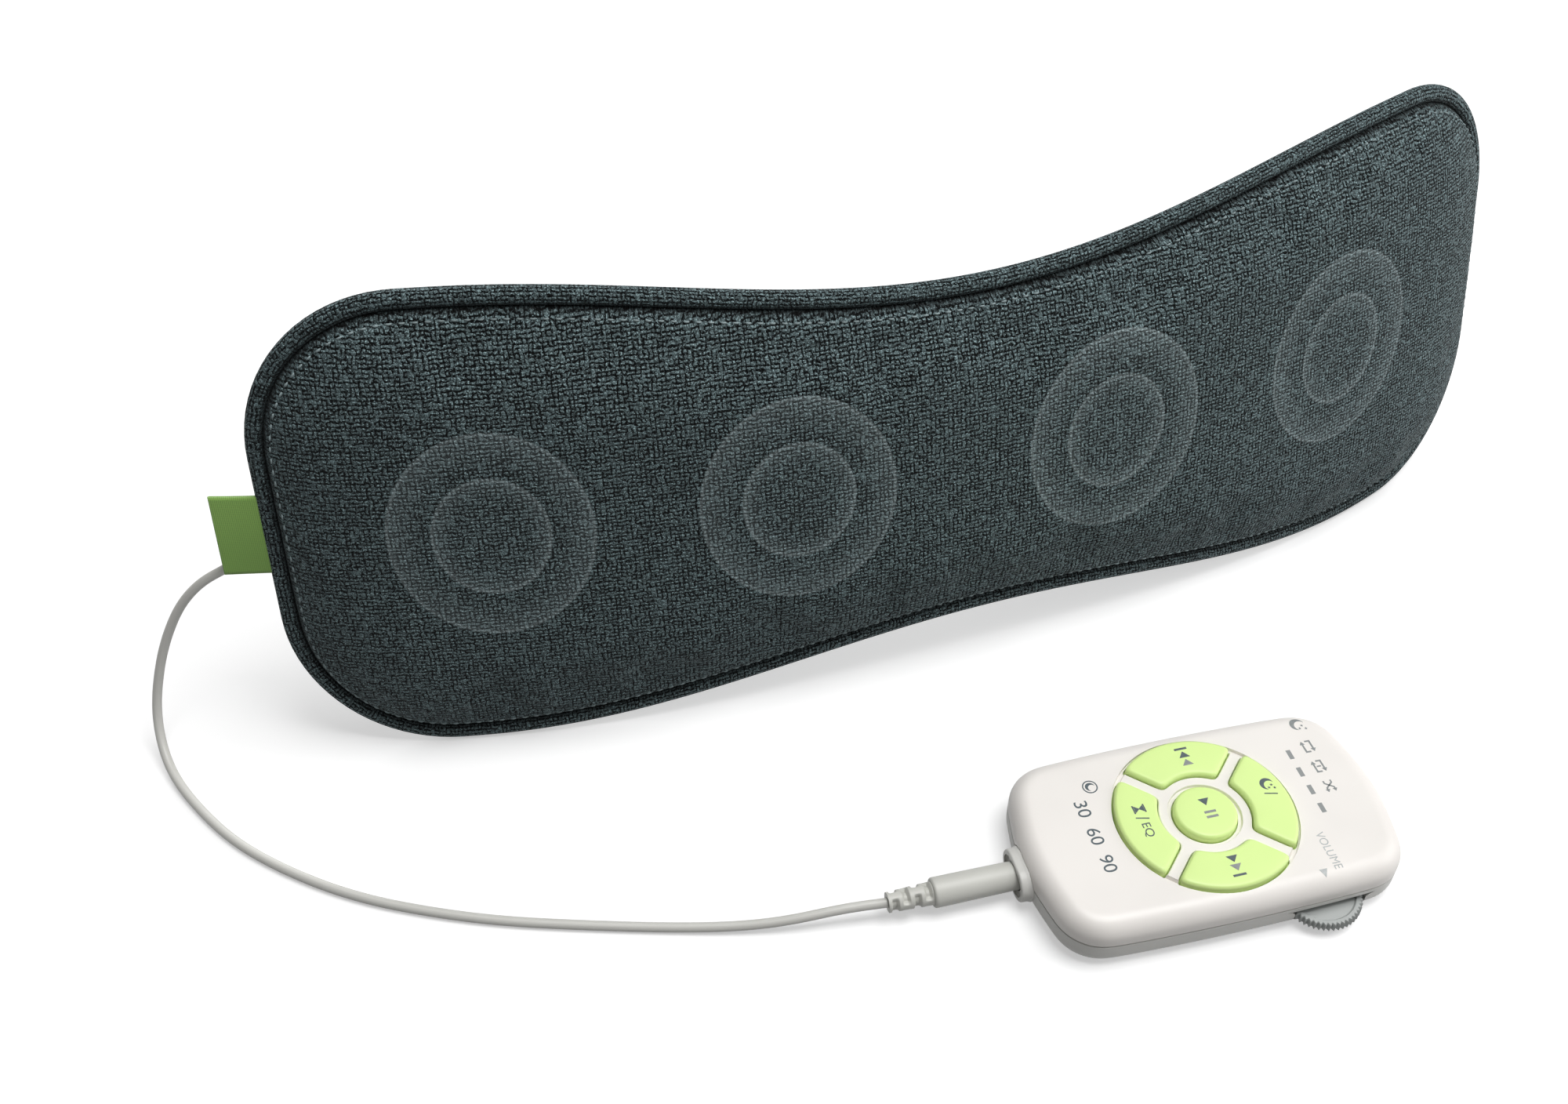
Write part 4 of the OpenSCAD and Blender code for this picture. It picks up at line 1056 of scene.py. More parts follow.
@dataclass(frozen=True)
class RemoteForm:
    """Sizes of the remote in its own frame: x from the plug end, y across, z up from the table."""

    x: float = 61.3
    y: float = -63.0
    yaw: float = 14.0
    length: float = 84.0
    width: float = 48.0
    height: float = 13.0
    parting: float = 7.0
    corner: float = 10.5
    end_bow: float = 1.8
    side_bow: float = 0.7
    upper_round: float = 4.4
    lower_round: float = 4.0
    wall: float = 1.8
    floor: float = 1.6
    cavity_round: float = 1.8
    ring: float = 20.0
    ring_inner: float = 10.5
    spoke: float = 2.4
    key_gap: float = 0.3
    centre: float = 7.0
    recess: float = 8.1
    recess_depth: float = 0.9
    jack_up: float = 5.0

    def place(self) -> Matrix:
        """Matrix from the remote's millimetres to the frame's metres."""
        turn = Matrix.Rotation(math.radians(self.yaw), 4, "Z")
        return WORLD @ Matrix.Translation((self.x, self.y, 0)) @ turn

    def outline(self, inset: float) -> np.ndarray:
        """Plan outline at an inset: four round corners joined by walls bowed as parabolas."""
        hx, hy = self.length / 2 - inset, self.width / 2 - inset
        r = max(self.corner - inset, 1.5)
        cx, cy = hx - self.end_bow - r, hy - self.side_bow - r
        a = np.linspace(0, math.pi / 2, 17)
        arc = np.stack([cx + r * np.cos(a), cy + r * np.sin(a)], -1)
        f = np.linspace(-1, 1, 15)[1:-1]
        g = np.linspace(1, -1, 33)[1:-1]
        end = np.stack([hx - self.end_bow * f * f, cy * f], -1)
        side = np.stack([cx * g, hy - self.side_bow * g * g], -1)
        half = np.concatenate([end, arc, side, (arc * (-1, 1))[::-1]])
        return relax(np.concatenate([half, -half]), 6)

    def shell_rings(self, levels: np.ndarray) -> np.ndarray:
        """Rings of the outline at levels of (inset, z)."""
        return np.stack([at_level(self.outline(inset), z) for inset, z in levels])

    def drop(self, points: np.ndarray) -> np.ndarray:
        """How far the rounded roof lies below its flat top at plane points.

        With d the distance to the outline, the drop is r - sqrt(r^2 - (r - d)^2) inside the rounding.
        """
        hx, hy, r = self.length / 2, self.width / 2, self.corner
        cx, cy = hx - self.end_bow - r, hy - self.side_bow - r
        x, y = np.abs(points[:, 0]), np.abs(points[:, 1])
        side = hy - self.side_bow * (x / cx) ** 2 - y
        end = hx - self.end_bow * (y / cy) ** 2 - x
        round_off = r - np.hypot(np.maximum(x - cx, 0), np.maximum(y - cy, 0))
        d = np.where((x > cx) & (y > cy), round_off, np.minimum(side, end))
        over = np.clip(self.upper_round - d, 0, self.upper_round * 0.98)
        return self.upper_round - np.sqrt(self.upper_round ** 2 - over ** 2)

    def sector(self, grow: float) -> np.ndarray:
        """Outline of the space between two spokes, grown by a distance, with eased corners."""
        ro, ri = self.ring + grow, self.ring_inner - grow
        g = self.spoke / 2 + self.key_gap - grow
        ao, ai = math.asin(g / ro), math.asin(g / ri)
        outer = np.linspace(ao, math.pi / 2 - ao, 70)
        inner = np.linspace(math.pi / 2 - ai, ai, 36)
        outer = ro * np.stack([np.cos(outer), np.sin(outer)], -1)
        inner = ri * np.stack([np.cos(inner), np.sin(inner)], -1)
        share = np.linspace(0, 1, 24)[1:-1, None]
        return relax(np.concatenate([
            outer, outer[-1] + share * (inner[0] - outer[-1]),
            inner, inner[-1] + share * (outer[0] - inner[-1])]), 12)


@dataclass
class Print:
    """One layer of printed marks on one surface, thin plates on the remote's roof or on a key."""

    name: str
    form: RemoteForm
    height: float
    thick: float = 0.03
    builder: MeshBuilder = field(default_factory=MeshBuilder)

    def plate(self, ring: np.ndarray) -> None:
        """Adds a flat plate with the given plane outline."""
        low, high = at_level(ring, self.height), at_level(ring, self.height + self.thick)
        self.builder.loft(np.stack([low, high]))

    def box(self, x: float, y: float, along: float, across: float, turn: float = 0.0) -> None:
        """Adds a rectangle about (x, y)."""
        self.plate(spun(rectangle(along, across), turn) + (x, y))

    def triangle(self, x: float, y: float, reach: float, base: float, way: float) -> None:
        """Adds a triangle about (x, y) whose tip points across the remote, way 1 or -1."""
        self.plate(np.array([[-base / 2, -way * reach / 2], [base / 2, -way * reach / 2],
                             [0, way * reach / 2]])[::int(way)] + (x, y))

    def crescent(self, x: float, y: float, radius: float) -> None:
        """Adds a crescent moon that opens towards +x and -y.

        It is a circle less one of 0.8 times its radius, moved by 0.45 of it towards the opening, so
        that the horns lie 51.3 degrees off the opening, and 77.4 degrees about the smaller circle.
        """
        way, horn, inner_horn = math.radians(-45), math.radians(51.3), math.radians(77.4)
        a = np.linspace(way + horn, way + 2 * math.pi - horn, 30)
        b = np.linspace(way + 2 * math.pi - inner_horn, way + inner_horn, 24)[1:-1]
        outer = np.stack([np.cos(a), np.sin(a)], -1)
        inner = 0.8 * np.stack([np.cos(b), np.sin(b)], -1)
        inner = inner + 0.45 * np.array([math.cos(way), math.sin(way)])
        self.plate(radius * np.vstack([outer, inner]) + (x, y))

    def star(self, x: float, y: float, radius: float) -> None:
        """Adds a small star of five points."""
        a = np.arange(10) * math.pi / 5
        r = np.where(np.arange(10) % 2 == 0, radius, radius * 0.42)
        self.plate(np.stack([r * np.cos(a), r * np.sin(a)], -1) + (x, y))

    def moon(self, x: float, y: float, radius: float, star: float,
             stars: tuple[tuple[float, float], ...]) -> None:
        """Adds a crescent with stars of one size at offsets from its middle."""
        self.crescent(x, y, radius)
        for dx, dy in stars:
            self.star(x + dx, y + dy, star)

    def stroke(self, path: list[tuple[float, float]], width: float) -> None:
        """Adds a band of even width along an open plane path, with mitred corners."""
        line = np.array(path, float)
        step = np.diff(line, axis=0)
        side = np.stack([-step[:, 1], step[:, 0]], -1) / np.linalg.norm(step, axis=1, keepdims=True)
        before, after = np.vstack([side[:1], side]), np.vstack([side, side[-1:]])
        mitre = (before + after) / (1 + (before * after).sum(1, keepdims=True)) * width / 2
        self.plate(np.vstack([line - mitre, (line + mitre)[::-1]]))

    def arrows(self, x: float, y: float, sign: Sign) -> None:
        """Adds a sign of two arrows about (x, y), in a loop or crossing each other."""
        for way in (-1, 1):
            if sign is Sign.SHUFFLE:
                self.stroke([(x - way * 0.85, y + 1.5), (x - way * 0.85, y + 0.8),
                             (x + way * 0.85, y - 0.5), (x + way * 0.85, y - 0.9)], 0.36)
                self.triangle(x + way * 0.85, y - 1.25, 0.8, 1.1, -1)
            else:
                self.stroke([(x - way * 0.15, y + way * 1.5), (x + way * 0.95, y + way * 1.45),
                             (x + way * 1.0, y - way * 0.7)], 0.42)
                self.triangle(x + way * 1.0, y - way * 1.15, 0.95, 1.25, -way)
        if sign is Sign.REPEAT_ONE:
            self.box(x, y, 1.0, 0.36)

    def ring(self, x: float, y: float, radius: float, width: float) -> None:
        """Adds a thin ring."""
        outer, inner = circle(radius, 40), circle(radius - width, 40)
        rows = [at_level(r + (x, y), z) for r, z in (
            (outer, self.height), (outer, self.height + self.thick),
            (inner, self.height + self.thick), (inner, self.height))]
        self.builder.grid(np.stack(rows), wrap_u=True, wrap_v=True)

    def text(self, words: str, x: float, y: float, tall: float, wide: float) -> None:
        """Adds words read across the remote, with the tops of their letters towards +x.

        Args:
            words: the letters.
            x: middle of the words along the remote.
            y: middle of the words across it.
            tall: height of a letter.
            wide: length of the words.
        """
        curve = bpy.data.curves.new("words", "FONT")
        curve.body = words
        curve.extrude = 0.5
        letters = add_object("words", curve)
        bpy.context.view_layer.update()
        depsgraph = bpy.context.evaluated_depsgraph_get()
        mesh = bpy.data.meshes.new_from_object(letters.evaluated_get(depsgraph))
        points = read_points(mesh).astype(float)
        low, high = points.min(0), points.max(0)
        share = (points - (low + high) / 2) / (high - low)
        placed = np.stack([x + share[:, 1] * tall, y - share[:, 0] * wide,
                           self.height + self.thick * (share[:, 2] + 0.5)], -1)
        start = self.builder.count
        self.builder.points.append(placed)
        self.builder.uvs.append(np.zeros((len(placed), 2)))
        self.builder.seams.append(np.zeros(len(placed)))
        self.builder.count += len(placed)
        for polygon in mesh.polygons:
            self.builder.face(start + np.array(polygon.vertices))
        bpy.data.objects.remove(letters)
        bpy.data.curves.remove(curve)
        bpy.data.meshes.remove(mesh)

    def finish(self, body: Body, ink: Ink) -> None:
        """Makes the layer's piece. On the roof it is split finely and follows the rounding."""
        on_roof = body is Body.HEADPHONES
        piece = self.builder.build(self.name, Matrix.Identity(4), sharp=20.0, longest=0.5 * on_roof)
        if on_roof:
            points = read_points(piece.data)
            points[:, 2] -= self.form.drop(points[:, :2])
            piece.data.vertices.foreach_set("co", points.ravel())
        finish_mesh(piece.data, self.form.place(), 20.0)
        dress(piece, body, "cream_plastic" if on_roof else "lime_plastic", ink.material())


@dataclass
class Remote:
    """The hand remote: two moulded shells, five keys, a thumbwheel and the print."""

    form: RemoteForm = field(default_factory=RemoteForm)
    seam_step: float = 0.5
    seam_half: float = 0.1
    key_proud: float = 1.2
    key_round: float = 0.85
    key_play: float = 0.2
    stem_low: float = 9.7
    stem_radius: float = 1.6
    skirt: float = 0.6
    skirt_thick: float = 0.8
    lip: float = 0.28
    wheel_along: float = 20.0
    wheel_radius: float = 9.0
    wheel_proud: float = 4.5
    wheel_thick: float = 2.2
    wheel_up: float = 2.2
    wheel_teeth: int = 52
    tooth_depth: float = 0.7
    slot_gap: float = 0.4
    collar_width: float = 12.5
    collar_height: float = 8.6
    collar_reach: float = 2.0
    bore_radius: float = 3.5
    bore_depth: float = 1.8
    pin_radius: float = 2.05
    recess_lip: float = 0.22
    window: tuple[float, float] = (1.1, 2.6)
    window_along: float = 25.8
    windows: tuple[float, ...] = (-4.6, 0.5, 5.6, 10.7)
    port: tuple[float, float] = (8.0, 14.0)
    port_along: float = -6.0
    port_low: float = 3.4
    port_high: float = 6.4
    screw_at: tuple[float, float] = (34.0, 15.0)
    screw_radius: float = 2.3
    screw_depth: float = 1.5

    cream: MouldedPlastic = MouldedPlastic("cream_plastic", (0.90, 0.865, 0.825), 0.38)
    grey: MouldedPlastic = MouldedPlastic("grey_plastic", (0.70, 0.695, 0.662), 0.42)
    lime: MouldedPlastic = MouldedPlastic("lime_plastic", (0.755, 0.975, 0.365), 0.40)
    dial: MouldedPlastic = MouldedPlastic("dial_plastic", (0.42, 0.44, 0.43), 0.45)
    dark_ink: Ink = Ink("dark_ink", (0.085, 0.115, 0.13))
    mid_ink: Ink = Ink("mid_ink", (0.26, 0.28, 0.28))
    pale_ink: Ink = Ink("pale_ink", (0.46, 0.48, 0.48))

    def build(self) -> None:
        """Makes and dresses the remote."""
        self.upper_shell()
        self.lower_shell()
        self.keys()
        self.wheel()
        self.prints()

    @property
    def axle(self) -> tuple[float, float]:
        """The thumbwheel's middle in plan."""
        return self.wheel_along, -(self.form.width / 2 + self.wheel_proud - self.wheel_radius)

    @property
    def face(self) -> float:
        """x of the collar's face."""
        return -self.form.length / 2 - self.collar_reach

    def cutter(self, rings: np.ndarray) -> bpy.types.Object:
        """A closed loft in the remote's own millimetres, for carving."""
        return lofted("cutter", rings, Matrix.Identity(4))

    def prism(self, ring: np.ndarray, low: float, high: float) -> bpy.types.Object:
        """An upright prism for carving."""
        return self.cutter(np.stack([at_level(ring, low), at_level(ring, high)]))

    def bore(self, radius: float, count: int, depth: float) -> bpy.types.Object:
        """A cylinder for carving, along the plug's axis to a depth behind the collar's face."""
        ring = circle(radius, count)
        ends = self.face - 1, self.face + depth
        return self.cutter(np.stack([upright(ring, x, self.form.jack_up) for x in ends]))

    def lipped(self, outline: Callable[[float], np.ndarray], low: float,
               lip: float) -> bpy.types.Object:
        """A prism for carving whose upper rim flares as a quarter round, which leaves a rounded lip.

        Args:
            outline: gives the opening's plane outline grown by a distance.
            low: lower end of the prism.
            lip: radius of the lip in the roof.

        Returns:
            The cutter.
        """
        top = self.form.height
        levels = [(lip * (1 - math.cos(k)), top - lip + lip * math.sin(k))
                  for k in np.linspace(0, math.pi / 2, 5)]
        levels = [(0.0, low), *levels, (lip * 1.2, top + 0.6)]
        return self.cutter(np.stack([at_level(outline(grow), z) for grow, z in levels]))

    def shell(self, name: str, way: int, radius: float, steps: int, thick: float) -> bpy.types.Object:
        """A cup-shaped shell, lofted from its parting rim over its outside and back up its inside.

        Args:
            name: the piece's name.
            way: 1 for the shell above the parting plane, -1 for the one below.
            radius: rounding of its outer edge.
            steps: steps of that rounding.
            thick: thickness of its closed end.

        Returns:
            The shell in the remote's own millimetres.
        """
        form = self.form
        rim, end = form.parting + way * self.seam_half, form.height if way > 0 else 0.0
        turn, inside = fillet(radius, steps), fillet(form.cavity_round, 6)
        outer = np.vstack([[self.seam_step, rim], [0.1, rim + way * 0.07], [0.0, rim + way * 0.2],
                           np.column_stack([turn[:, 0], end - way * turn[:, 1]]), [radius + 0.6, end]])
        inner = np.vstack([[form.wall, rim], np.column_stack(
            [form.wall + inside[:, 0], end - way * thick - way * inside[:, 1]])])
        rings = form.shell_rings(np.concatenate([outer[::-1], inner]))
        return lofted(name, rings, Matrix.Identity(4), 35.0)

    def settle(self, piece: bpy.types.Object, sharp: float = 32.0) -> None:
        """Puts a carved piece in its place and weights its normals by the size of the faces."""
        finish_mesh(piece.data, self.form.place(), sharp)
        weighted = piece.modifiers.new("normals", "WEIGHTED_NORMAL")
        weighted.keep_sharp = True
        weighted.weight = 100

    def upper_shell(self) -> None:
        """Makes the cream shell: apertures with rounded lips, the round recess and the window slots."""
        form = self.form
        piece = self.shell("upper_case", 1, form.upper_round, 14, form.wall)
        low = form.height - form.wall - 1
        for turn in (45, 135, 225, 315):
            carve(piece, self.lipped(lambda grow: spun(form.sector(form.key_gap + grow), turn),
                                     low, self.lip))
        carve(piece, self.prism(circle(form.centre + form.key_gap), low, form.height))
        carve(piece, self.lipped(lambda grow: circle(form.recess + grow),
                                 form.height - form.recess_depth, self.recess_lip))
        groove = MeshBuilder()
        gap, depth, over = form.key_gap, form.height - form.recess_depth, form.height + 0.5
        section = ((-gap, depth), (gap + 0.25, depth), (gap + 0.25, over), (-2 * gap - 0.2, over),
                   (-2 * gap, form.height - 0.12))
        groove.grid(np.stack([at_level(circle(form.ring + off), z) for off, z in section]),
                    wrap_u=True, wrap_v=True)
        carve(piece, groove.build("groove", Matrix.Identity(4)))
        for across in self.windows:
            slot = rectangle(*self.window) + (self.window_along, across)
            carve(piece, self.prism(slot, low, form.height + 1))
        carve(piece, self.collar_body(grow=0.15, depth=2.8))
        self.settle(piece)
        dress(piece, Body.HEADPHONES, "cream_plastic", self.cream.material(), "remote_upper_shell")

    def stadium(self, grow: float, x: float) -> np.ndarray:
        """Upright stadium ring of the collar at x, grown by a distance."""
        r = self.collar_height / 2 + grow
        off = (self.collar_width - self.collar_height) / 2
        a = np.linspace(-math.pi / 2, math.pi / 2, 25)
        half = np.stack([off + r * np.cos(a), r * np.sin(a)], -1)
        return upright(np.vstack([half, (half * (-1, 1))[::-1]]), x, self.form.jack_up)

    def collar_body(self, grow: float, depth: float) -> bpy.types.Object:
        """The collar round the plug, with a rounded rim and a small fillet where it meets the wall."""
        face, root = self.face, -self.form.length / 2
        levels = ((-0.45, face), (-0.2, face + 0.08), (-0.05, face + 0.25), (0.0, face + 0.5),
                  (0.0, root - 0.5), (0.12, root - 0.1), (0.3, root + 0.3), (0.3, root + depth))
        return self.cutter(np.stack([self.stadium(grow + size, x) for size, x in levels]))

    def lower_shell(self) -> None:
        """Makes the grey shell: collar, plug bore, wheel slot, port, screw wells."""
        form, face = self.form, self.face
        piece = self.shell("lower_case", -1, form.lower_round, 12, form.floor)
        carve(piece, self.collar_body(grow=0.0, depth=form.wall), "UNION")
        recess = ((-1.1, face - 1), (-1.1, face + 0.5), (-1.3, face + 0.7))
        carve(piece, self.cutter(np.stack([self.stadium(grow, x) for grow, x in recess])))
        carve(piece, self.bore(self.bore_radius, 64, self.bore_depth))
        carve(piece, self.bore(self.pin_radius, 48, self.collar_reach + form.wall + 1))
        well = circle(self.wheel_radius + self.slot_gap, 96, *self.axle)
        top = self.wheel_up + self.wheel_thick + self.slot_gap
        flare = ((0.0, self.wheel_up - self.slot_gap), (0.0, top - 0.2), (-0.4, top + 0.2),
                 (-1.1, top + 0.7), (-2.0, top + 1.0))
        rings = np.stack([at_level(inset_ring(well, inset), z) for inset, z in flare])
        carve(piece, self.cutter(rings))
        port = rectangle(*self.port) + (self.port_along, form.width / 2 + 4)
        carve(piece, self.prism(port, self.port_low, self.port_high))
        for x, y in itertools.product((-1, 1), repeat=2):
            well = circle(self.screw_radius, 48, x * self.screw_at[0], y * self.screw_at[1])
            carve(piece, self.prism(well, -1, self.screw_depth))
        self.settle(piece)
        dress(piece, Body.HEADPHONES, "grey_plastic", self.grey.material(), "remote_lower_shell")

    def key_rings(self, outline: Callable[[float], np.ndarray]) -> np.ndarray:
        """Rings of a key from its skirt up to its rounded top edge and its faint dome.

        Args:
            outline: gives the key's plane outline at an inset.

        Returns:
            The rings, shape (levels, around, 3).
        """
        form = self.form
        top = form.height + self.key_proud
        skirt_up = form.height - form.wall - self.key_play
        levels = [(-self.skirt, skirt_up - self.skirt_thick), (-self.skirt, skirt_up), (0.0, skirt_up)]
        turn = fillet(self.key_round, 7)
        levels += [(inset, top - 0.06 - drop) for inset, drop in turn]
        levels += [(self.key_round + 0.5, top - 0.03), (self.key_round + 1.1, top)]
        return np.stack([at_level(outline(inset), z) for inset, z in levels])

    def keys(self) -> None:
        """Makes the four keys of the ring and the round one in their middle."""
        form, lime = self.form, self.lime.material()
        reach = (form.ring + form.ring_inner) / 2
        for body, turn in ((Body.PREVIOUS, 45), (Body.TIMER, 135), (Body.NEXT, 225), (Body.SLEEP, -45)):
            middle = math.radians(turn + 45)
            self.key(body, lambda inset: spun(form.sector(-inset), turn),
                     (reach * math.cos(middle), reach * math.sin(middle)), lime)
        self.key(Body.PLAY, lambda inset: circle(form.centre - inset), (0.0, 0.0), lime)

    def key(self, body: Body, outline: Callable[[float], np.ndarray], middle: tuple[float, float],
            material: bpy.types.Material) -> None:
        """Makes one key with the short stem that presses its switch.

        Args:
            body: the body that it rides on, which names it.
            outline: gives its plane outline at an inset.
            middle: the stem's place.
            material: its material.
        """
        low, high = self.stem_low, self.form.height - self.form.wall - self.key_play - self.skirt_thick
        ring = circle(self.stem_radius, 32, *middle)
        builder = MeshBuilder()
        builder.loft(self.key_rings(outline))
        builder.loft(np.stack([at_level(ring, low), at_level(ring, high)]))
        name = body.value.removesuffix("_key")
        piece = builder.build(f"{name}_button", self.form.place(), sharp=50.0)
        dress(piece, body, "lime_plastic", material, f"key_{name}")

    def wheel(self) -> None:
        """Makes the thumbwheel: a disc with sharp teeth, a chamfered rim and a shallow dish on top."""
        steps = self.wheel_teeth * 6
        phase = np.arange(steps) % 6 / 6
        tooth = np.clip(np.abs(phase - 0.5) * 2.6 - 0.25, 0, 1)
        a = np.arange(steps) * 2 * math.pi / steps
        full = self.wheel_radius - self.tooth_depth * (1 - tooth)
        low, high = self.wheel_up, self.wheel_up + self.wheel_thick
        plain = self.wheel_radius - self.tooth_depth - 0.25
        rows = ((1.3, low), (plain, low), (full - 0.25, low), (full, low + 0.25), (full, high - 0.25),
                (full - 0.25, high), (plain, high), (plain - 0.5, high), (plain - 0.9, high - 0.4),
                (2.8, high - 0.4), (2.6, high), (1.3, high))
        builder = MeshBuilder()
        builder.grid(np.stack([at_level(np.stack([r * np.cos(a), r * np.sin(a)], -1) + self.axle, z)
                               for r, z in rows]), wrap_u=True, wrap_v=True)
        piece = builder.build("thumbwheel", self.form.place(), sharp=30.0)
        dress(piece, Body.DIAL, "wheel_plastic", self.dial.material(), "volume_wheel")

    @contextmanager
    def layer(self, name: str, body: Body, ink: Ink) -> Iterator[Print]:
        """Opens a layer of print on the roof or on a key, and makes its piece at the end."""
        lift = 0.0 if body is Body.HEADPHONES else self.key_proud
        layer = Print(name, self.form, self.form.height + lift)
        yield layer
        layer.finish(body, ink)

    def prints(self) -> None:
        """Prints the numbers, words and signs on the roof and on the keys."""
        with self.layer("print_timer", Body.HEADPHONES, self.dark_ink) as dark:
            for words, y in (("30", 7.7), ("60", 0.2), ("90", -7.1)):
                dark.text(words, -25.6, y, 3.0, 4.3)
            dark.ring(-21.8, 13.1, 1.75, 0.28)
            dark.crescent(-21.8, 13.1, 1.1)
        with self.layer("print_modes", Body.HEADPHONES, self.mid_ink) as mid:
            mid.moon(31.4, 18.5, 1.7, 0.42, ((0.9, -0.6), (0.1, -1.3), (1.5, -1.6)))
            for x, y, sign in ((30.8, 11.9, Sign.REPEAT), (30.6, 6.1, Sign.REPEAT_ONE),
                               (30.3, 0.5, Sign.SHUFFLE)):
                mid.arrows(x, y, sign)
        with self.layer("print_volume", Body.HEADPHONES, self.pale_ink) as pale:
            pale.text("VOLUME", 21.9, -15.3, 1.9, 9.6)
            pale.triangle(18.3, -20.4, 1.9, 1.9, -1)
        with self.layer("print_sleep", Body.SLEEP, self.dark_ink) as sleep:
            sleep.moon(16.2, 3.6, 1.55, 0.4, ((0.9, -0.5), (0.1, -1.1), (1.3, -1.4)))
            sleep.box(16.0, 0.9, 3.0, 0.3, turn=-14)
        with self.layer("print_hourglass", Body.TIMER, self.dark_ink) as timer:
            for way in (-1, 1):
                timer.box(-14.1 + way * 1.25, 4.0, 0.32, 2.2)
                timer.plate(np.array([[-14.1 + way * 1.05, 3.1], [-14.1 + way * 1.05, 4.9],
                                      [-14.1, 4.1], [-14.1, 3.9]])[::way])
            timer.box(-14.3, 1.5, 3.0, 0.3, turn=-14)
            timer.text("EQ", -14.4, -1.7, 2.3, 3.6)
        with self.layer("print_previous", Body.PREVIOUS, self.dark_ink) as back:
            back.box(1.6, 17.4, 3.0, 0.55)
            back.triangle(1.7, 15.8, 1.7, 2.6, 1)
        with self.layer("print_previous_pale", Body.PREVIOUS, self.mid_ink) as back:
            back.triangle(1.6, 13.6, 1.7, 2.6, 1)
        with self.layer("print_next", Body.NEXT, self.dark_ink) as ahead:
            ahead.triangle(0.2, -13.1, 1.7, 2.6, -1)
            ahead.box(-0.1, -17.2, 3.0, 0.55)
        with self.layer("print_next_pale", Body.NEXT, self.mid_ink) as ahead:
            ahead.triangle(0.1, -15.3, 1.7, 2.6, -1)
        with self.layer("print_play", Body.PLAY, self.dark_ink) as play:
            play.triangle(0.7, 2.3, 1.9, 2.5, -1)
        with self.layer("print_pause", Body.PLAY, self.mid_ink) as pause:
            for y in (-0.4, -1.7):
                pause.box(0.8, y, 2.7, 0.6)


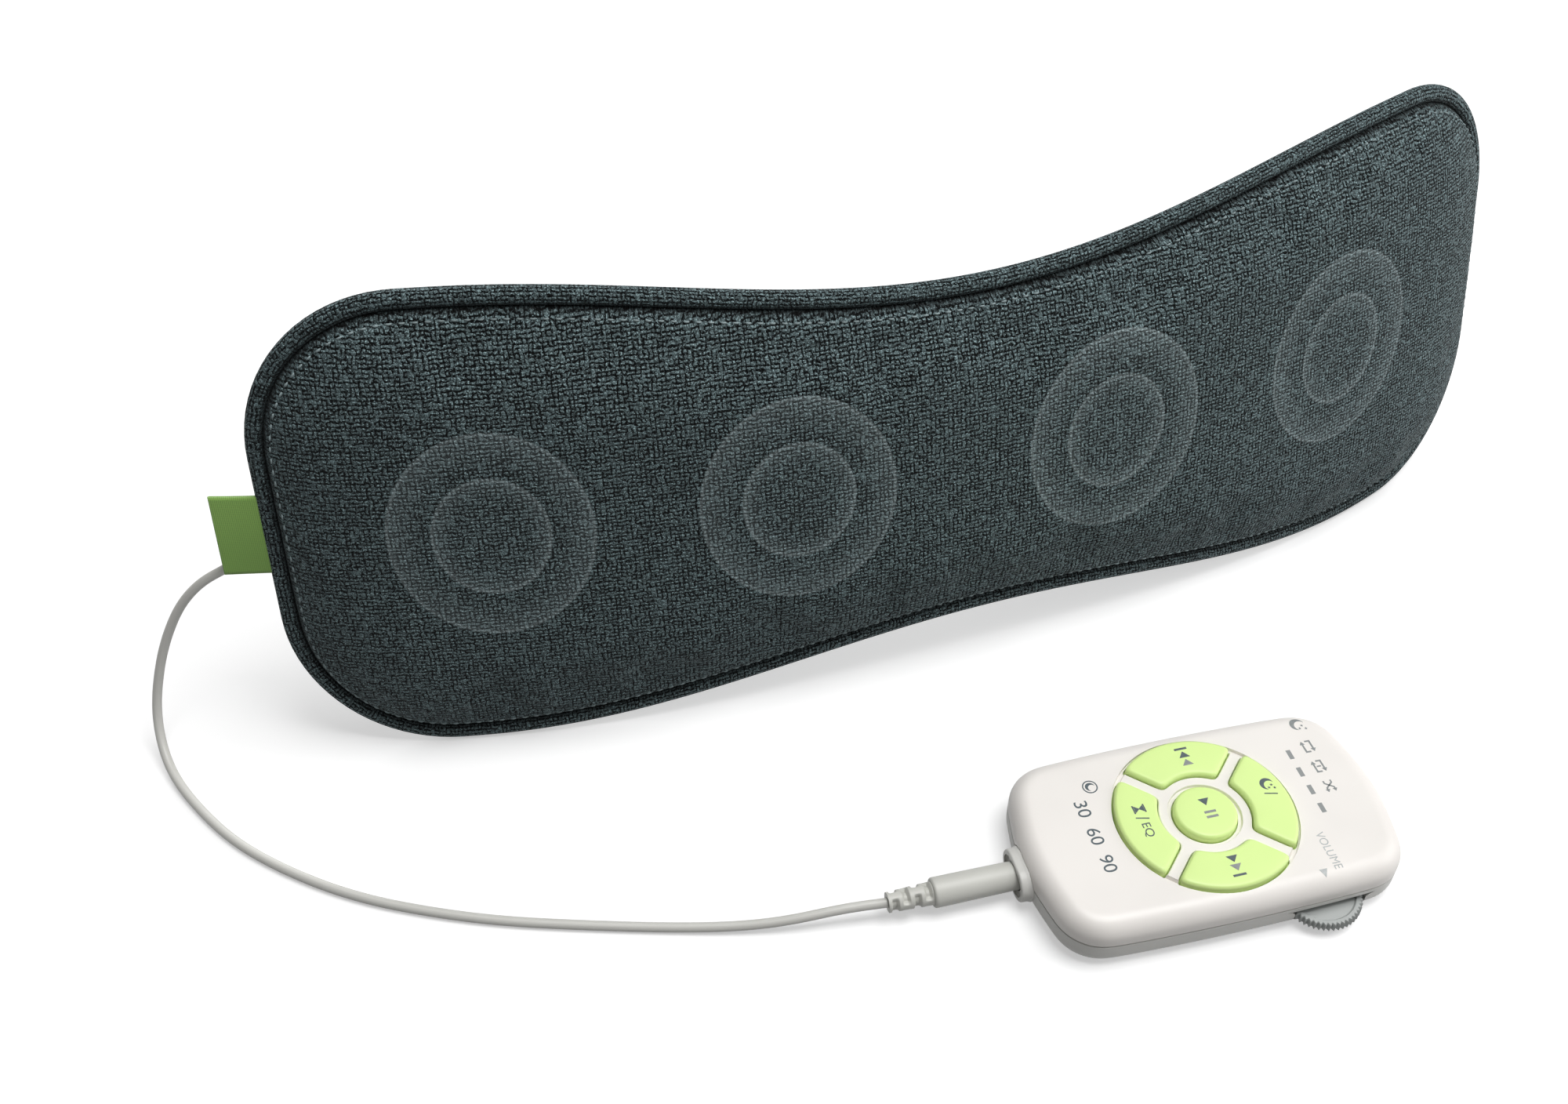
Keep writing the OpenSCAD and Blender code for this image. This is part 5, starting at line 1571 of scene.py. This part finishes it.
@dataclass
class Lead:
    """The free cord with its plug: one smooth curve from the gland to the table and the remote."""

    form: RemoteForm = field(default_factory=RemoteForm)
    pad: PadForm = field(default_factory=PadForm)
    diameter: float = 2.2
    gland_up: float = 52.0
    gland_n: float = -1.2
    gland_reach: float = 3.0
    nose: float = -42.5
    grip: float = 20.0
    grip_nose: float = 6.4
    grip_tail: float = 6.7
    relief: float = 10.0
    relief_root: float = 5.2
    relief_end: float = 4.5
    slots: int = 4
    slot_depth: float = 0.95
    sides: int = 16
    per_span: int = 8
    smoothing: int = 60
    route: tuple = (
        (-150.3, -21.3, 51), (-152.4, -21.3, 50.3), (-154.5, -21.4, 49), (-156.8, -21.3, 47.1),
        (-160.3, -21.9, 45.6), (-163.3, -22.3, 43.3), (-166.9, -22.8, 39.7), (-169.9, -23.6, 35.5),
        (-172.7, -24.7, 30.2), (-175.1, -26.1, 25), (-176.9, -28, 19.2), (-178.4, -30.2, 13.5),
        (-178.6, -33.2, 8.5), (-177.4, -37.2, 4.8), (-175, -41.8, 2.4), (-171.4, -46.6, 1.3),
        (-166, -52.2, 1.1), (-160.8, -57.2, 1.1), (-155.4, -61.6, 1.1), (-149.8, -65.2, 1.1),
        (-144, -68.4, 1.1), (-138.2, -71.2, 1.1), (-132.2, -73.8, 1.1), (-126, -76, 1.1),
        (-119.8, -77.8, 1.1), (-113.6, -79.2, 1.1), (-107.4, -80.4, 1.1), (-101.4, -81.4, 1.1),
        (-95.4, -82.2, 1.1), (-89.4, -82.8, 1.1), (-83.4, -83.2, 1.1), (-77.4, -83.5, 1.1),
        (-71.4, -83.8, 1.1), (-65.4, -84, 1.1), (-59.4, -84.2, 1.1), (-53.4, -84.3, 1.2),
        (-47.4, -84.4, 1.4), (-41.4, -84.3, 1.7), (-35.4, -84.1, 2.3), (-29.4, -83.6, 3.1),
        (-23.4, -82.7, 4), (-17.4, -81.5, 4.7))

    def build(self) -> None:
        path = self.curve()
        jacket = CordPlastic("cord_jacket", (0.70, 0.695, 0.655)).material()
        moulded = MouldedPlastic("plug_plastic", (0.63, 0.63, 0.585), 0.45).material()
        cord, grip, relief = self.tube(path), self.grip_piece(), self.relief_piece()
        for piece, material, node in ((cord, jacket, "cord_lead"), (grip, moulded, "plug_grip"),
                                      (relief, moulded, "strain_relief")):
            dress(piece, Body.HEADPHONES, "cord_plastic", material, node)

    def curve(self) -> np.ndarray:
        """Points along the cord: a Catmull-Rom curve through the route.

        A span from b to c with neighbours a and d is half of
        2b + (c - a) t + (2a - 5b + 4c - d) t^2 + (3b - a - 3c + d) t^3. Passes that put each point
        halfway to the mean of its neighbours then even out its bends.
        """
        start = self.pad.point(*np.array([-self.gland_reach, self.gland_up, self.gland_n]))
        turn = math.radians(self.form.yaw)
        tail = self.nose - self.grip - self.relief
        end = np.array([self.form.x + tail * math.cos(turn), self.form.y + tail * math.sin(turn),
                        self.form.jack_up])
        way_in = np.array([math.cos(turn), math.sin(turn), 0])
        first = self.pad.heading(np.array(0.0))
        way_out = np.array([math.cos(first), math.sin(first), 0])
        p = np.vstack([start + way_out * 2, start, np.array(self.route), end, end + way_in * 6])
        t = np.linspace(0, 1, self.per_span, endpoint=False)[:, None, None]
        a, b, c, d = p[:-3], p[1:-2], p[2:-1], p[3:]
        spans = 0.5 * (2 * b + (c - a) * t + (2 * a - 5 * b + 4 * c - d) * t ** 2
                       + (3 * b - a - 3 * c + d) * t ** 3)
        path = np.vstack([spans.transpose(1, 0, 2).reshape(-1, 3), end])
        for _ in range(self.smoothing):
            path[2:-2] = (path[1:-3] + 2 * path[2:-2] + path[3:-1]) / 4
        return path

    def tube(self, path: np.ndarray) -> bpy.types.Object:
        """A round tube along the path, with its ring square to the path at every point."""
        way = np.gradient(path, axis=0)
        way /= np.linalg.norm(way, axis=1, keepdims=True)
        side = np.cross(way, (0, 0, 1))
        side /= np.linalg.norm(side, axis=1, keepdims=True)
        up = np.cross(side, way)
        a = np.linspace(0, 2 * math.pi, self.sides, endpoint=False)[None, :, None]
        spokes = np.cos(a) * side[:, None] + np.sin(a) * up[:, None]
        rings = path[:, None] + self.diameter / 2 * spokes
        run = run_along(path)
        girth = np.linspace(0, math.pi * self.diameter, self.sides + 1)
        uv = np.stack(np.meshgrid(np.append(run, run[-1]), girth, indexing="ij"), -1)
        return lofted("cord", rings, sharp=60.0, uv=uv)

    def turned(self, profile: list[tuple[float, float]], count: int = 72) -> np.ndarray:
        """Rings about the plug's axis for a profile of (radius, distance back from the nose)."""
        return np.stack([upright(circle(radius, count), self.nose - back, self.form.jack_up)
                         for radius, back in profile])

    def grip_piece(self) -> bpy.types.Object:
        """The plug's barrel, a little wider at its tail, with eased edges and a shallow step."""
        n, t, g = self.grip_nose / 2, self.grip_tail / 2, self.grip
        profile = [(0.3, 0), (n - 0.5, 0), (n - 0.2, 0.06), (n - 0.05, 0.22), (n, 0.5),
                   (t, g - 1.0), (t, g - 0.55), (t - 0.08, g - 0.28), (t - 0.28, g - 0.08),
                   (t - 0.5, g), (0.3, g)]
        return lofted("plug_barrel", self.turned(profile), self.form.place(), 45.0)

    def relief_piece(self) -> bpy.types.Object:
        """The strain relief: a tapering sleeve with slots that leave a spine, turned from slot to slot.

        The radius at (back, angle) is the taper, less the slot's depth where back lies in a slot and
        the angle lies off that slot's spine.
        """
        back = np.linspace(0, self.relief, 101)[:, None]
        a = np.linspace(0, 2 * math.pi, 72, endpoint=False)[None, :]
        taper = self.relief_root / 2 + (self.relief_end - self.relief_root) / 2 * back / self.relief
        radius = np.broadcast_to(taper, (back.size, a.size))
        pitch = self.relief / self.slots
        for k in range(self.slots):
            middle = (k + 0.45) * pitch
            slot = np.clip(1.6 - np.abs(back - middle) / (pitch * 0.22), 0, 1)
            spine = np.abs(np.cos(a + math.pi / 2 * (k % 2)))
            radius = radius - self.slot_depth * slot * np.clip((0.93 - spine) / 0.12, 0, 1)
        rings = np.stack([np.broadcast_to(self.nose - self.grip - back, radius.shape),
                          radius * np.cos(a), self.form.jack_up + radius * np.sin(a)], -1)
        return lofted("relief_sleeve", rings, self.form.place(), 45.0)


def paint(piece: bpy.types.Object, material: bpy.types.Material) -> None:
    """Gives a piece one material in place of its own."""
    piece.data.materials.clear()
    piece.data.materials.append(material)


def dress(piece: bpy.types.Object, body: Body, slot: str, material: bpy.types.Material,
          *replaced: str) -> None:
    """Gives a piece its material and its body, and hides the nodes that it stands for.

    Args:
        piece: the finished piece.
        body: the body that it rides on.
        slot: a material slot's name; not used.
        material: its only material.
        replaced: the nodes that it stands for.
    """
    paint(piece, material)
    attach(piece, body.value)
    if replaced:
        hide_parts(*replaced)
    LOG.info("%s: %d faces, rides on %s", piece.name, len(piece.data.polygons), body.value)


@dataclass
class InnerParts:
    """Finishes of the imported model's own nodes that no new piece stands for."""

    finishes: dict = field(default_factory=lambda: {
        "foam_core": OpenFoam("foam", (0.52, 0.47, 0.33)),
        "cord_gland": MouldedPlastic("gland_plastic", (0.50, 0.50, 0.465)),
        "speaker_wiring": MouldedPlastic("wire_plastic", (0.17, 0.01, 0.01)),
        "speaker_basket": Metal("basket_lacquer", (0.035, 0.035, 0.035), 0.5, 0.3),
        "speaker_magnet": Metal("magnet_plating", (0.55, 0.55, 0.54), 0.3),
        "speaker_cone": MouldedPlastic("cone_film", (0.58, 0.58, 0.55), 0.3),
        "volume_pot": MouldedPlastic("pot_plastic", (0.05, 0.055, 0.05)),
        "plug_socket": MouldedPlastic("socket_plastic", (0.015, 0.015, 0.015)),
        "charging_port": Metal("port_plating", (0.6, 0.6, 0.6), 0.35),
        "circuit_board": MouldedPlastic("board_lacquer", (0.01, 0.09, 0.04), 0.3, clouds=0.2),
        "key_switches": MouldedPlastic("switch_plastic", (0.03, 0.03, 0.03)),
        "battery": Metal("battery_foil", (0.4, 0.45, 0.5), 0.35),
        "indicator_windows": MouldedPlastic("window_plastic", (0.31, 0.325, 0.325), 0.3),
        "shell_screws": Metal("screw_plating", (0.5, 0.5, 0.48), 0.3),
        "plug_pin": Metal("pin_plating", (0.75, 0.62, 0.35), 0.2),
    })

    def build(self) -> None:
        """Gives each node the finish of its name, less the number at its end."""
        made = {name: finish.material() for name, finish in self.finishes.items()}
        for node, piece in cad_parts.items():
            stem = node.rstrip("_1234")
            if stem in made:
                paint(piece, made[stem])


@dataclass
class Studio:
    """Camera, lamps, pale floor and world."""

    camera_at: tuple[float, float, float] = (-0.0313, -0.27761, 0.30113)
    camera_tilt: float = 45.91
    lens: float = 37.02
    lit: tuple[float, float, float] = (0, 0, 0.03)
    lamps: tuple = (
        ("key_lamp", (0.22, -0.02, 1.12), 0.6, 9.3),
        ("side_lamp", (0.90, 0.02, 0.52), 0.7, 3.8),
        ("back_lamp", (-0.35, 0.95, 0.42), 0.7, 4.0))
    floor_half: float = 3000.0
    floor_drop: float = 0.05
    world_light: float = 0.18
    floor_colour: float = 0.72
    floor_bounce: float = 0.28
    floor_glow: float = 0.42
    far_glow: float = 0.45

    def camera(self) -> None:
        """Sets the camera at the photograph's viewing angle."""
        data = bpy.data.cameras.new("camera")
        data.lens = self.lens
        data.sensor_width = 36.0
        data.clip_start = 0.01
        camera = add_object("camera", data)
        camera.location = self.camera_at
        camera.rotation_euler = (math.radians(self.camera_tilt), 0, 0)
        bpy.context.scene.camera = camera

    def lamp(self, name: str, at: tuple[float, float, float], size: float, power: float) -> None:
        """Adds a square soft lamp that points at the middle of the object."""
        data = bpy.data.lights.new(name, "AREA")
        data.size = size
        data.energy = power
        lamp = add_object(name, data)
        lamp.location = at
        lamp.rotation_euler = (Vector(self.lit) - Vector(at)).to_track_quat("-Z", "Y").to_euler()

    def sight(self, tree: Tree) -> Value:
        """1 for rays that see the background directly, in gloss or through glass."""
        path = tree.node("ShaderNodeLightPath").outputs
        seen = tree.math("MAXIMUM", path["Is Camera Ray"], path["Is Glossy Ray"])
        return tree.math("MAXIMUM", seen, path["Is Transmission Ray"])

    def floor(self) -> None:
        """Adds the floor: matt and pale, whiter far out, dimmer in the light it throws back."""
        builder = MeshBuilder()
        x, y = np.meshgrid(*[(-self.floor_half, self.floor_half)] * 2, indexing="ij")
        builder.grid(np.stack([x, y, np.full(x.shape, -self.floor_drop)], -1))
        floor = builder.build("floor")
        tree = Tree("floor_paint")
        seen, bounced = (self.floor_colour,) * 3, (self.floor_bounce,) * 3
        paint_colour = tree.mix(self.sight(tree), bounced, seen)
        matt = tree.node("ShaderNodeBsdfDiffuse", None, {"Color": paint_colour})
        reach = Value(tree, tree.node("ShaderNodeVectorMath", {"operation": "LENGTH"},
                                      {0: tree.place()}).outputs["Value"])
        glow = tree.node("ShaderNodeEmission", None, {
            "Color": (1.0, 1.0, 1.0),
            "Strength": self.sight(tree) * (self.floor_glow + self.far_glow * reach.above(0.3, 0.9))})
        both = tree.node("ShaderNodeAddShader", None, {0: matt.outputs[0], 1: glow.outputs[0]})
        tree.feed(tree.output.inputs["Surface"], both.outputs[0])
        floor.data.materials.append(tree.material)

    def world(self) -> None:
        """Lights all round with soft white; the camera sees it at full white."""
        world = bpy.data.worlds.new("world")
        bpy.context.scene.world = world
        world.use_nodes = True
        nodes, links = world.node_tree.nodes, world.node_tree.links
        background = nodes["Background"]
        background.inputs["Color"].default_value = (1, 1, 1, 1)
        path = nodes.new("ShaderNodeLightPath")
        strength = nodes.new("ShaderNodeMapRange")
        strength.inputs["To Min"].default_value = self.world_light
        strength.inputs["To Max"].default_value = 1.0
        links.new(path.outputs["Is Camera Ray"], strength.inputs["Value"])
        links.new(strength.outputs["Result"], background.inputs["Strength"])

    def build(self) -> None:
        """Sets up the whole studio."""
        self.camera()
        for lamp in self.lamps:
            self.lamp(*lamp)
        self.floor()
        self.world()
        bpy.context.scene.view_settings.view_transform = "Standard"


def main() -> None:
    """Builds the object's looks in order."""
    logging.basicConfig(level=logging.INFO, format="%(name)s: %(message)s")
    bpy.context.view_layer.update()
    Studio().build()
    Lead().build()
    Pad().build()
    Remote().build()
    InnerParts().build()


if __name__ == "__main__":
    main()
